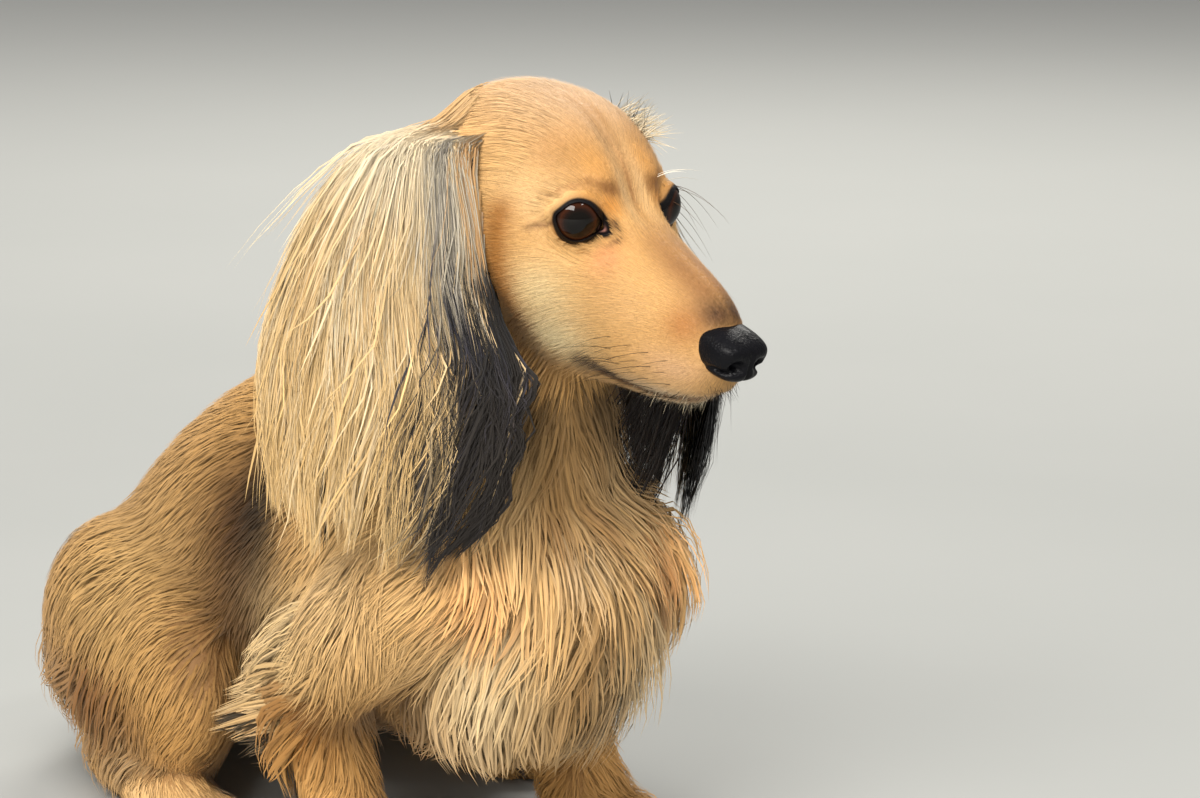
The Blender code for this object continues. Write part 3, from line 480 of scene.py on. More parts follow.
forms = {
    "torso": lambda share, turn: eggForm(share, turn, torsoRows, depth["torso"]),
    "head": headForm,
    "neck": lambda share, turn: tubeForm(share, turn, neck, depth["neck"]),
    "tail": lambda share, turn: tubeForm(share, turn, tail, depth["tail"], (0.0, 0.0, 1.0)),
}
for sideName, sideSign in (("left", 1), ("right", -1)):
    for part, rows in (("arm", upperArm), ("paw", paw), ("thigh", thigh), ("foot", hindFoot)):
        forms[f"{part}_{sideName}"] = limb(rows, depth[part], sideSign)
    forms[f"ear_{sideName}"] = lambda share, turn, side=sideSign: earForm(share, turn, side)


# Meshes from arrays
def addMesh(name, points, faces, material, colours=None, smooth=True):
    # faces is an array of equal rows, or a list of such arrays; the points are moved to the solids' place
    faces = [faces] if isinstance(faces, np.ndarray) else faces
    mesh = bpy.data.meshes.new(name)
    corners = np.concatenate([f.ravel() for f in faces])
    sizes = np.concatenate([np.full(len(f), f.shape[1]) for f in faces])
    mesh.vertices.add(len(points))
    mesh.vertices.foreach_set("co", (points + moved).astype(np.float32).ravel())
    mesh.loops.add(len(corners))
    mesh.loops.foreach_set("vertex_index", corners.astype(np.int32))
    mesh.polygons.add(len(sizes))
    mesh.polygons.foreach_set("loop_start", np.concatenate([[0], np.cumsum(sizes)[:-1]]).astype(np.int32))
    if smooth:
        mesh.polygons.foreach_set("use_smooth", np.ones(len(sizes), bool))
    mesh.update(calc_edges=True)
    if colours is not None:
        layer = mesh.attributes.new("coat", "FLOAT_COLOR", "POINT")
        colours = np.column_stack([colours, np.ones(len(colours))])
        layer.data.foreach_set("color", colours.astype(np.float32).ravel())
    if material:
        mesh.materials.append(material)
    return added(name, mesh)


def ringFaces(count, around, closed=False):  # quads between rings of points, and back to the first if closed
    i, j = np.meshgrid(np.arange(count if closed else count - 1), np.arange(around), indexing="ij")
    k = (j + 1) % around
    here, after = i * around, (i + 1) % count * around
    return np.stack([here + j, here + k, after + k, after + j], -1).reshape(-1, 4)


def cappedFaces(count, around):  # the quads of a tube and the fans round a pole before and after it
    j = np.arange(around)
    k, last, pole = (j + 1) % around, (count - 1) * around, count * around
    start = np.stack([k, j, np.full(around, pole)], 1)
    end = np.stack([last + j, last + k, np.full(around, pole + 1)], 1)
    return [ringFaces(count, around), np.concatenate([start, end])]


def outward(points, faces):  # turns every face round if the closed surface is inside out
    volume = 0.0
    for group in faces:
        for k in range(1, group.shape[1] - 1):
            volume += np.linalg.det(points[group[:, [0, k, k + 1]]]).sum()
    return faces if volume > 0 else [group[:, ::-1] for group in faces]


def formMesh(form, around, along):
    rings = form(*wrapped(along, around)).reshape(along, around, 3)
    middle = rings.mean(1)
    size = np.linalg.norm(rings - middle[:, None], axis=2).mean(1)
    start = middle[0] + unit(middle[0] - middle[1]) * size[0] * 0.5
    end = middle[-1] + unit(middle[-1] - middle[-2]) * size[-1] * 0.5
    points = np.concatenate([rings.reshape(-1, 3), [start, end]])
    return points, outward(points, cappedFaces(along, around))


def ball(centre, half, around=24, rows=13):
    tilt, turn = np.meshgrid(
        np.linspace(-math.pi / 2, math.pi / 2, rows + 2)[1:-1],
        np.linspace(0, 2 * math.pi, around, endpoint=False), indexing="ij",
    )
    level = np.cos(tilt)
    ring = np.stack([level * np.cos(turn), level * np.sin(turn), np.sin(tilt)], -1).reshape(-1, 3)
    points = np.concatenate([ring, [[0, 0, -1.0], [0, 0, 1.0]]]) * half + centre
    return points, outward(points - centre, cappedFaces(rows, around))


def toeEnds(out=0.0):  # x and y of every toe
    for rows in (paw, hindFoot):
        for beside, ahead in zip(toes["beside"], toes["ahead"]):
            for side in (1, -1):
                yield rows[-1, 0] + (ahead + out), (rows[-1, 1] + beside) * side


def toeBalls():
    return [ball(np.array([x, y, toes["lift"]]), toes["half"]) for x, y in toeEnds()]


# Markings, the same for skin and coat: colour at a place, as patches laid over each other on both sides,
# each with its centre, its reach, its colour and its strength
golden, tan, lipHair = tint(222, 172, 106), tint(204, 156, 92), tint(48, 34, 28)
skull = {"centre": [-0.01, 0, -0.01], "reach": [0.085, 0.06, 0.058]}
headPatches = (
    (-35, 0, 30, 45, 34, 22, 208, 174, 138, 0.85),  # crown
    (-8, 20, 20, 18, 14, 8, 180, 132, 76, 0.7),  # forehead
    (0, 11, 18, 14, 8, 10, 226, 164, 88, 0.75),  # above the brow
    (5, 4, 10, 14, 2.4, 14, 234, 196, 144, 0.55),  # pale bands beside the furrow, painted light on the sides of the crease
    (4, 0, 11, 12, 1.3, 10, 140, 94, 52, 0.75),  # furrow, painted shade in the crease
    # the furrow's painted shade, running up the forehead
    (-16, 2, 26, 18, 1.8, 12, 180, 134, 82, 0.65),
    (7, 11.2, 6.6, 4.6, 3.6, 4.6, 204, 134, 52, 0.85),  # gold over the eye's front corner
    (3.6, 18, 9, 5, 5, 2.6, 216, 152, 74, 0.7),  # gold over the eye
    (4.2, 10.5, 11.1, 3.4, 3.4, 1.9, 96, 58, 26, 0.8),  # brow
    (-4.5, 24.4, 7.8, 7, 6, 3, 220, 174, 116, 0.8),  # pale fold over the eye
    (-15, 34, 5, 14, 12, 10, 240, 200, 144, 0.75),  # above the eye's rear corner
    (-1, 34, -25, 12, 14, 11, 250, 220, 164, 0.9),  # cheek
    (-2, 22, -43, 16, 16, 13, 255, 236, 186, 0.98),  # lower cheek, painted light where the cheek turns under, away from the lamps
    (15, 17.6, -9, 6, 6, 8, 222, 140, 96, 0.6),  # below the tear corner
    (24, 14, -22, 18, 10, 10, 238, 190, 132, 0.6),  # side of the muzzle
    (26, 3, -2, 13, 7, 6, 170, 124, 76, 0.8),  # bridge
    (38, 4, -6, 13, 7, 6, 150, 106, 66, 0.8),
    (49, 4, -10, 10, 7.5, 6.5, 146, 100, 62, 0.75),
    (57.5, 4, -16, 8.6, 12, 6.4, 34, 20, 16, 0.98),  # smudge behind the nose
    (50.5, 13.4, -21, 7.5, 7, 6.5, 184, 118, 60, 0.75),
    (50, 13, -36, 14, 10, 6, 222, 180, 140, 0.7),  # whisker pad
    (50, 10, -50, 22, 16, 6, 236, 220, 192, 0.85),  # lips and chin
    (10, 10, -56, 26, 20, 6, 222, 176, 116, 0.7),  # under the jaw
    (-30, 20, -54, 30, 30, 14, 196, 142, 80, 0.7),  # throat
)
bodyPatches = (
    (-170, 0, 120, 110, 90, 80, 160, 124, 74, 0.9),  # rump
    (-60, 0, 190, 100, 34, 34, 150, 108, 46, 0.85),  # back
    (-100, 85, 90, 50, 40, 40, 178, 144, 92, 0.85),  # haunch
    (-110, 90, 36, 45, 40, 18, 116, 68, 14, 0.85),  # low on the haunch
    (-44, 62, 118, 30, 36, 50, 86, 54, 18, 0.98),  # flank, painted shade between the haunch and the foreleg
    (-38, 64, 78, 24, 26, 28, 78, 48, 22, 0.95),  # low on the flank, the same painted shade
    (-30, 60, 130, 16, 26, 34, 9, 6, 4, 0.99),  # dark patch, the deepest part of this painted shade
    (60, 0, 190, 40, 50, 30, 214, 166, 104, 0.8),  # neck
    (90, 20, 135, 40, 40, 45, 236, 196, 138, 0.9),  # chest
    (85, 26, 204, 16, 16, 14, 112, 74, 38, 0.85),  # under the ear's front edge, painted shade
    (94, 20, 176, 28, 26, 28, 44, 32, 16, 0.95),  # throat, painted shade under the jaw, between the ears
    (99, 6, 154, 16, 10, 18, 150, 110, 62, 0.8),  # below the throat, the painted shade fading downwards
    # the painted shade under the jaw, fading further down the breast
    (96, 12, 130, 16, 8, 12, 164, 118, 70, 0.75),
    (88, 38, 113, 16, 12, 13, 244, 178, 112, 0.85),
    (86, 32, 100, 14, 14, 5, 150, 100, 54, 0.75),  # fold under the breast, painted shade in the crease
    (80, 30, 78, 24, 22, 18, 244, 216, 168, 0.9),  # lower chest
    (103, 4, 118, 12, 10, 12, 206, 176, 134, 0.8),  # white of the breast
    (104, 0, 72, 14, 10, 28, 150, 108, 66, 0.75),  # painted shade between the forelegs
    (60, 22, 56, 30, 26, 10, 240, 208, 160, 0.85),  # brisket
    (50, 20, 30, 50, 30, 16, 44, 30, 20, 0.95),  # shaded underside
    (42, 40, 58, 16, 10, 24, 62, 42, 26, 0.9),  # painted shade inside the elbow
    (34, 60, 108, 34, 30, 26, 240, 200, 142, 0.85),  # shoulder
    (-4, 64, 80, 26, 26, 20, 240, 206, 148, 0.95),  # elbow
    (12, 64, 54, 20, 26, 15, 134, 80, 20, 0.9),  # forearm
    (24, 52, 24, 30, 26, 14, 218, 164, 98, 0.8),  # forepaw
    (-70, 75, 12, 50, 30, 12, 228, 186, 128, 0.8),  # hind foot
    (-250, 40, 10, 60, 70, 20, 222, 180, 122, 0.9),  # tail
)
# lines on the side of the head: places forward and up, width, strength, colour, least way out
faceLines = (
    (metres([-1.2, -1], [-6, -3.4], [-9, -5.2]), 0.001, 0.7, tint(84, 52, 32), 0.012),  # eye's rear
    (metres([9, 0.6], [11.2, -2.4], [12.2, -5]), 0.0014, 0.95, tint(60, 34, 26), 0.01),  # tear line
    (metres([-9, 6], [-4.7, 9.5], [-1.1, 12.5], [3, 12], [5.2, 10]),
     0.0012, 0.55, tint(132, 84, 38), 0.006),  # brow
    (metres([-21, -4], [-19, -13], [-15, -25], [-14, -42]),
     0.0064, 0.85, tint(156, 96, 28), 0.02),  # beside the ear
)
mouthLine = metres([10, -47.5], [24, -50], [38, -50.2], [50, -48], [60, -45.5])


def nearLine(inHead, line):  # how far each place is from a line drawn on the side of the head
    near = np.full(len(inHead), 1.0)
    for a, b in zip(line[:-1], line[1:]):
        gap = inHead[:, [0, 2]] - a
        along = np.clip((gap @ (b - a)) / ((b - a) @ (b - a)), 0, 1)
        near = np.minimum(near, np.linalg.norm(gap - along[:, None] * (b - a), axis=1))
    return near


def painted(points, patches, colour):
    for row in np.array(patches):
        share = row[9] * bellAround(points, row[:3] / 1000, row[3:6] / 1000)[..., None]
        colour = colour * (1 - share) + tint(*row[6:9]) * share
    return colour


def markings(points):
    body = painted(folded(points)[0], bodyPatches, np.tile(tan, (len(points), 1)))
    inHead = folded(toHead(points))[0]
    forward = inHead[:, 0]
    face = painted(inHead, headPatches, np.tile(golden, (len(points), 1)))
    lip = bell(nearLine(inHead, mouthLine) / 0.0019) * (forward > 0.004) * fade(-forward, -0.054, -0.034)
    corner = bell(nearLine(inHead, mouthLine[:2]) / 0.0032) * (forward > 0.005)
    face = mixed(face, lipHair, np.clip(0.75 * lip + 0.55 * corner, 0, 0.92))
    for line, wide, strength, colour, least in faceLines:
        close = bell(nearLine(inHead, line) / wide) * (inHead[:, 1] > least)
        face = mixed(face, colour, strength * close)
    # the face gives way to the neck below the skull
    within = (((inHead - skull["centre"]) / skull["reach"]) ** 2).sum(1)
    return mixed(body, face, np.clip((1.35 - within) / 0.5, 0, 1))


# Waves: a smooth random field, the mean of sines in several directions
waveDraw = np.random.default_rng(11)
waveWays = unit(waveDraw.normal(size=(12, 3)))
wavePhases = waveDraw.uniform(0, 2 * math.pi, (12, 3))


def waves(points, size):  # three values from -1 to 1 for each point, varying over about size
    angle = points @ waveWays.T * (2 * math.pi / size)
    return np.sin(angle[..., None] + wavePhases).mean(-2) * 2.2


# Skin: the forms in one mesh, remeshed so that they join, smoothed, and cut by the line of the mouth
skin = {
    "voxel": 0.00187, "smoothing": 8, "blending": 90, "lowest": 0.0004,
    "mouthDeep": 0.0016, "mouthWide": 0.0013,
}
# where flesh runs over from one form to the next: centre and reach, on both sides
blends = metres(
    [60, 40, 118, 34, 26, 36], [10, 56, 95, 30, 20, 32], [-110, 58, 100, 55, 22, 32],
    [-50, 62, 70, 28, 18, 36], [50, 30, 160, 40, 30, 24], [-170, 30, 40, 30, 30, 30],
)


def joinedForms():
    pieces = [formMesh(form, 96, 80) for form in forms.values()] + toeBalls()
    points, faces, start = [], {3: [], 4: []}, 0
    for piece, groups in pieces:
        points.append(piece)
        for group in groups:
            faces[group.shape[1]].append(group + start)
        start += len(piece)
    return addMesh("joined", np.concatenate(points), [np.concatenate(faces[size]) for size in (4, 3)], None)


def remeshed(obj):
    modifier = obj.modifiers.new("join", "REMESH")
    modifier.mode = "VOXEL"
    modifier.voxel_size = skin["voxel"]
    made = bpy.data.meshes.new_from_object(obj.evaluated_get(bpy.context.evaluated_depsgraph_get()))
    bpy.data.objects.remove(obj, do_unlink=True)
    points = np.empty(len(made.vertices) * 3, np.float32)
    made.vertices.foreach_get("co", points)
    corners = np.empty(len(made.loops), np.int32)
    made.loops.foreach_get("vertex_index", corners)
    edges = np.empty(len(made.edges) * 2, np.int32)
    made.edges.foreach_get("vertices", edges)
    bpy.data.meshes.remove(made)
    return points.reshape(-1, 3).astype(float) - moved, corners.reshape(-1, 4), edges.reshape(-1, 2)


def relaxed(points, edges, rounds, share, back=0.8):
    # points drawn to the mean of their neighbours, and back a little
    ends = np.concatenate([edges, edges[:, ::-1]])
    count = np.bincount(ends[:, 0], minlength=len(points))[:, None]
    for i in range(rounds):
        sums = [np.bincount(ends[:, 0], points[ends[:, 1], k], len(points)) for k in range(3)]
        mean = np.stack(sums, 1) / count
        points = points + (mean - points) * (share if i % 2 == 0 else -back * share)[:, None]
    return points


def vertexNormals(points, faces):
    a, b, c, d = (points[faces[:, i]] for i in range(4))
    normal = np.cross(c - a, d - b)
    total = [np.bincount(faces.ravel(), np.repeat(normal[:, k], 4), len(points)) for k in range(3)]
    return unit(np.stack(total, 1))


def mouthGroove(points):  # how near each point is to the line of the mouth, seen from the side
    inHead = toHead(points)
    return np.where(inHead[:, 0] > 0, nearLine(inHead, mouthLine), 1.0)


def makeSkin():
    points, faces, edges = remeshed(joinedForms())
    inHead = toHead(points)
    faceShare = np.clip((inHead[:, 0] + 0.03) / 0.02, 0, 1) * np.clip((inHead[:, 2] + 0.075) / 0.02, 0, 1)
    points = relaxed(points, edges, skin["smoothing"], 0.55 * (1 - 0.75 * faceShare))
    blend = sum(bellAround(folded(points)[0], row[:3], row[3:]) for row in blends)
    points = relaxed(points, edges, skin["blending"], np.clip(blend, 0, 1) * 0.6, back=0.0)
    normals = vertexNormals(points, faces)
    groove = bell(mouthGroove(points) / skin["mouthWide"])
    points = points - normals * (groove * skin["mouthDeep"])[:, None]
    points[:, 2] = np.maximum(points[:, 2], skin["lowest"])
    return points, faces, edges, vertexNormals(points, faces)


skinPoints, skinFaces, skinEdges, skinNormals = makeSkin()
print("skin of", len(skinFaces), "faces")


# Nearest place on the skin: a grid of cells that hold a skin point each, spread outwards, then refined
near = {"cell": 0.0035, "reach": 0.045}


def spreadCells(points, reach):  # each cell holds a point in it, or one spread from the cells around
    base = points.min(0) - reach
    size = np.ceil((points.max(0) + reach - base) / near["cell"]).astype(int) + 1
    cells = np.full(size, -1, np.int32)
    cells[tuple(((points - base) / near["cell"]).astype(int).T)] = np.arange(len(points))
    for _ in range(int(reach / near["cell"])):
        grown = cells.copy()
        for axis in range(3):
            for way in (1, -1):
                shifted = np.roll(cells, way, axis)
                grown = np.where((grown < 0) & (shifted >= 0), shifted, grown)
        cells = grown
    return base, cells


def inCells(points, base, cells):
    at = np.clip(((points - base) / near["cell"]).astype(int), 0, np.array(cells.shape) - 1)
    return np.maximum(cells[tuple(at.T)], 0)


def neighbourTable(most=6):
    ends = np.concatenate([skinEdges, skinEdges[:, ::-1]])
    ends = ends[np.argsort(ends[:, 0], kind="stable")]
    first = np.searchsorted(ends[:, 0], np.arange(len(skinPoints)))
    order = np.arange(len(ends)) - first[ends[:, 0]]
    table = np.tile(np.arange(len(skinPoints))[:, None], (1, most + 1))
    kept = order < most
    table[ends[kept, 0], order[kept] + 1] = ends[kept, 1]
    return table


def eyeAxes(side):
    gaze = unit(eye["gaze"] * [1, side, 1])
    inward = unit(np.cross([0, 0, 1.0], gaze)) * -side
    upward = np.cross(gaze, inward)
    upward = upward if upward[2] > 0 else -upward
    return eye["centre"] * [1, side, 1], gaze, inward, upward


# Lids: round the opening a rim lies on the ball, and runs out to the skin that was there before
lid = {
    "wide": 0.0067, "high": 0.007, "tearOut": 0.0034, "tearDown": 0.0026, "rearOut": 0.001, "rim": 0.0009,
    "flat": 1.16, "outer": 2.0, "ring": 1.6, "thick": 0.0014,
    "black": tint(9, 7, 9), "brown": tint(96, 60, 38), "pink": tint(196, 140, 128),
}


def lidOutline(turn):  # the opening, drawn out at its front and rear corners
    front, rear = np.clip(np.cos(turn), 0, 1) ** 8, np.clip(-np.cos(turn), 0, 1) ** 10
    across = lid["wide"] * np.cos(turn) + lid["tearOut"] * front - lid["rearOut"] * rear
    return across, lid["high"] * np.sin(turn) - lid["tearDown"] * front + 0.0006 * rear


def lidEdge(turn):  # how far out the bare black rim goes
    above, below = np.clip(np.sin(turn), 0, 1), np.clip(-np.sin(turn), 0, 1)
    return 1.09 + 0.17 * below + 0.04 * above + 0.16 * np.clip(np.cos(turn), 0, 1) ** 2


def inOpening(points, side):
    # how far out of the opening each place is, as a share of its reach, at which turn, and how far ahead
    centre, gaze, inward, upward = eyeAxes(side)
    local = toHead(points) - centre
    across, up = local @ inward, local @ upward
    turn = np.linspace(0, 2 * math.pi, 181)
    outline = lidOutline(turn)
    angle, reach = np.arctan2(outline[1], outline[0]) % (2 * math.pi), np.hypot(*outline)
    order = np.argsort(angle)
    here = np.arctan2(up, across) % (2 * math.pi)
    spread = np.hypot(across, up) / np.interp(here, angle[order], reach[order], period=2 * math.pi)
    return spread, np.interp(here, angle[order], turn[order]), local @ gaze


def lidHeight(spread, turn, outer):
    # along the gaze: on the ball by the opening, at the skin's level further out
    across, up = lidOutline(turn)
    away = np.minimum(np.hypot(across, up) * spread, 0.0091)
    onBall = np.sqrt(eye["radius"] ** 2 - away**2) + lid["rim"]
    level = np.interp(turn, np.linspace(0, 2 * math.pi, len(outer)), outer)
    share = fade(spread, lid["flat"], lid["outer"])
    crease = 0.0006 * bell((spread - 1.42) / 0.05) * np.clip(np.sin(turn), 0, 1)
    return onBall * (1 - share) + level * share - crease


def lidLevels(side, count=73):
    # how far out along the gaze the skin stands all round, before the socket is made
    centre, gaze, inward, upward = eyeAxes(side)
    across, up = lidOutline(np.linspace(0, 2 * math.pi, count))
    places = inward * (across * lid["outer"])[:, None] + upward * (up * lid["outer"])[:, None] + gaze * 0.004
    way = gaze @ axesOfHead
    for _ in range(12):
        gap, normal = overSkin(fromHead(centre + places))
        places = places - gaze * (0.7 * gap / np.clip(normal @ way, 0.4, None))[:, None]
    return places @ gaze


def makeSocket(side):  # sets the skin just below the lids
    spread, turn, height = inOpening(skinPoints, side)
    close = (spread < lid["outer"]) & (height > -0.002) & (height < 0.016)
    below = 0.0007 * (1 - fade(spread, 1.2, lid["ring"])) + 0.0042 * fade(-spread, -1.12, -0.95)
    wanted = lidHeight(np.maximum(spread, 1.0), turn, lidOuter[side]) - below
    skinPoints[close] += ((wanted - height)[close, None] * eyeAxes(side)[1]) @ axesOfHead


cellBase, skinCells = spreadCells(skinPoints, near["reach"])
neighbours = neighbourTable()


def onSkin(points):  # the nearest skin point to each place, and the skin's normal there
    found = inCells(points, cellBase, skinCells)
    for _ in range(4):
        around = neighbours[found]
        gap = ((skinPoints[around] - points[:, None]) ** 2).sum(2)
        found = around[np.arange(len(points)), gap.argmin(1)]
    return skinPoints[found], skinNormals[found]


def overSkin(points):  # how far places are above the skin, and its normals there
    skinAt, normal = onSkin(points.reshape(-1, 3))
    gap = ((points.reshape(-1, 3) - skinAt) * normal).sum(1)
    return gap.reshape(points.shape[:-1]), normal.reshape(points.shape)


lidOuter = {side: lidLevels(side) for side in (1, -1)}
for side in (1, -1):
    makeSocket(side)
skinNormals = vertexNormals(skinPoints, skinFaces)


# The lie of the coat: at each place on the dog a direction, length, height over the skin and wildness
lieUnits = np.array([1000, 1000, 1000, 1, 1, 1, 1000, 1000, 1, 1000])  # millimetres become metres
bodyLie = np.array([
    # x, y, z, way x, y, z, length, height, wildness, reach
    [90, 0, 195, 0.05, 0, -1, 26, 6, 0.3, 25],  # throat
    [62, 34, 195, -0.15, 0.1, -1, 26, 7, 0.25, 25],
    [25, 0, 205, -0.6, 0, -0.8, 24, 7, 0.15, 30],  # nape
    [30, 30, 190, -0.55, 0.15, -0.9, 26, 7, 0.2, 30],
    [-10, 0, 187, -0.95, 0, -0.2, 22, 6, 0.1, 40],  # withers
    [-80, 0, 175, -0.95, 0, -0.4, 20, 5.8, 0.1, 45],
    [-150, 0, 120, -0.6, 0, -0.8, 22, 6, 0.12, 40],  # rump
    [-190, 0, 50, -0.4, 0, -0.9, 26, 6, 0.15, 30],
    [40, 52, 130, -0.3, 0.12, -0.95, 28, 7.5, 0.35, 30],  # shoulder
    [-10, 60, 140, -0.75, 0.05, -0.65, 22, 6, 0.15, 35],
    [-30, 62, 100, -0.65, 0.05, -0.75, 24, 6.4, 0.2, 35],  # flank
    [-90, 64, 120, -0.65, 0.05, -0.75, 22, 6, 0.14, 40],
    [0, 30, 36, -0.6, 0.2, -0.75, 28, 7, 0.35, 35],  # belly
    [102, 0, 125, 0.1, 0, -1, 30, 6.5, 0.45, 22],  # breast
    [92, 30, 125, -0.05, 0.45, -0.9, 30, 7, 0.5, 22],
    [90, 25, 85, -0.05, 0.15, -1, 32, 7.5, 0.5, 25],
    [70, 0, 55, -0.2, 0, -1, 22, 6.5, 0.4, 30],  # brisket
    [60, 62, 110, -0.35, 0.25, -0.9, 28, 7, 0.45, 25],  # upper arm
    [20, 70, 90, -0.6, 0.25, -0.75, 30, 7.5, 0.45, 25],
    [0, 64, 75, -0.8, 0.25, -0.55, 34, 8, 0.5, 20],  # elbow
    [20, 64, 55, -0.4, 0.15, -0.9, 20, 5.5, 0.4, 20],
    [30, 52, 35, -0.1, 0.1, -1, 14, 4, 0.3, 18],  # wrist
    [40, 52, 18, 0.75, 0.05, -0.6, 9, 2.2, 0.2, 14],  # forepaw
    [-90, 92, 85, -0.5, 0.15, -0.85, 24, 6.2, 0.25, 35],  # thigh
    [-140, 85, 70, -0.6, 0.15, -0.8, 28, 6.5, 0.3, 35],
    [-56, 70, 92, -0.35, 0.8, -0.45, 22, 5.5, 0.2, 24],  # knee
    [-42, 76, 66, -0.1, 0.75, -0.75, 22, 5.5, 0.2, 24],
    [-60, 92, 58, -0.35, 0.35, -0.85, 22, 5.5, 0.25, 24],
    [-110, 90, 40, -0.45, 0.3, -0.85, 30, 6.2, 0.35, 30],
    [-100, 80, 15, 0.4, 0.3, -0.5, 12, 3, 0.25, 20],  # hock
    [-55, 76, 18, 0.85, 0.1, -0.4, 9, 2.2, 0.2, 16],  # hind foot
    [-200, 0, 25, -0.95, 0.05, -0.25, 34, 5.5, 0.2, 25],  # tail
    [-245, 30, 16, -0.6, 0.75, -0.05, 34, 5, 0.25, 25],
    [-272, 75, 12, -0.25, 0.95, -0.05, 32, 4.5, 0.25, 25],
]) / lieUnits
headLie = np.array([
    # forward, left, up, way, length, height, wildness, reach
    [58, 5, -14, -1, 0.15, 0.15, 3, 0.6, 0.1, 9],
    [40, 6, -6, -1, 0.1, 0.05, 4.2, 0.8, 0.08, 12],
    [46, 16, -30, -1, 0.15, -0.15, 4.2, 0.9, 0.12, 10],
    [52, 12, -46, -0.75, 0.1, -0.6, 5, 1.1, 0.25, 9],  # lip
    [60, 4, -43, -0.25, 0.1, -1, 4.2, 1, 0.3, 7],  # under the nose
    [30, 18, -48, -0.85, 0.05, -0.5, 5.5, 1.1, 0.2, 10],
    [28, 20, -28, -1, 0.15, -0.15, 5, 0.9, 0.08, 12],
    [12, 24, -16, -1, 0.3, -0.2, 5, 0.9, 0.08, 8],
    [8, 27, -36, -0.95, 0.2, -0.35, 7, 1.1, 0.1, 12],
    [-12, 36, -20, -0.95, 0.15, -0.35, 8, 1.2, 0.1, 12],  # cheek
    [-18, 34, -42, -0.8, 0.05, -0.6, 12, 1.8, 0.15, 14],
    [20, 6, 2, -0.95, 0.12, 0.3, 5, 0.9, 0.06, 9],  # bridge and stop
    [8, 6, 14, -0.65, 0.3, 0.7, 6, 1, 0.08, 9],
    [6, 16, 13, -0.6, 0.45, 0.6, 6, 1.4, 0.2, 6],  # brow
    [-12, 6, 28, -0.9, 0.25, 0.3, 8, 1.1, 0.08, 14],
    [-10, 24, 18, -0.85, 0.45, 0.05, 8, 1.1, 0.08, 12],
    [-20, 36, 0, -1, 0.15, -0.2, 8.5, 1.2, 0.1, 12],  # temple
    [-45, 0, 33, -1, 0.05, -0.05, 12, 1.6, 0.1, 20],  # crown
    [-42, 26, 20, -0.85, 0.35, -0.3, 15, 2.2, 0.15, 16],
    [-78, 0, 10, -0.6, 0, -0.85, 18, 3.5, 0.15, 20],  # back of the skull
    [-70, 26, -10, -0.6, 0.2, -0.85, 20, 4, 0.2, 20],
    [30, 0, -56, -1, 0.05, -0.1, 6, 1, 0.15, 14],  # under the jaw
    [-5, 10, -55, -0.9, 0.15, -0.45, 12, 2, 0.2, 16],
    [-40, 15, -50, -0.6, 0.15, -0.85, 20, 4, 0.25, 20],
]) / lieUnits


def coatAt(points):
    # weights fall off as a bell from each anchor, far ones kept tiny so that every place has a nearest one
    total, weightSum = 0.0, 0.0
    for places, table, axes in ((points, bodyLie, np.eye(3)), (toHead(points), headLie, axesOfHead)):
        at, side = folded(places)
        gap = ((at[:, None] - table[None, :, :3]) ** 2).sum(2) / table[None, :, 9] ** 2
        weight = np.exp(-gap) + 1e-3 / (1 + gap) ** 3
        lie = weight @ table[:, 3:9]
        lie[:, :3] = (lie[:, :3] * mirrors(side)) @ axes
        total = total + lie
        weightSum = weightSum + weight.sum(1, keepdims=True)
    total = total / weightSum
    return unit(total[:, :3]), total[:, 3], total[:, 4], total[:, 5]


def flat(ways, normals):  # directions laid into the skin
    return unit(ways - normals * (ways * normals).sum(1, keepdims=True))


# Tufts: three-sided, tapered, closed, each ending in a point
tuft = {"corners": [90, 210, 330], "wide": 1.15, "lowest": 0.0003, "lowestTip": 0.0006, "patch": 0.003}


def taperOf(steps):  # how wide a tuft is from root to tip, as a share
    return np.interp(np.linspace(0, 1, steps), [0, 0.35, 0.8, 1], [0.75, 1.0, 0.6, 0.0])


def faceCorners(steps):
    # the side and the ring of each face's corners: along the sides, at the point, and over the root
    rings, sides = (grid.ravel() for grid in np.meshgrid(np.arange(steps - 2), np.arange(3), indexing="ij"))
    found = []
    for turns, steppings in (((0, 1, 1), (0, 0, 1)), ((0, 1, 0), (0, 1, 1))):
        found.append(np.stack([np.stack([sides + a, rings + b], -1) for a, b in zip(turns, steppings)], 1))
    point = [[[side, steps - 2], [side + 1, steps - 2], [side + 0.5, steps - 1]] for side in range(3)]
    return np.concatenate([*found, point, [[[0, 0], [2, 0], [1, 0]]]])


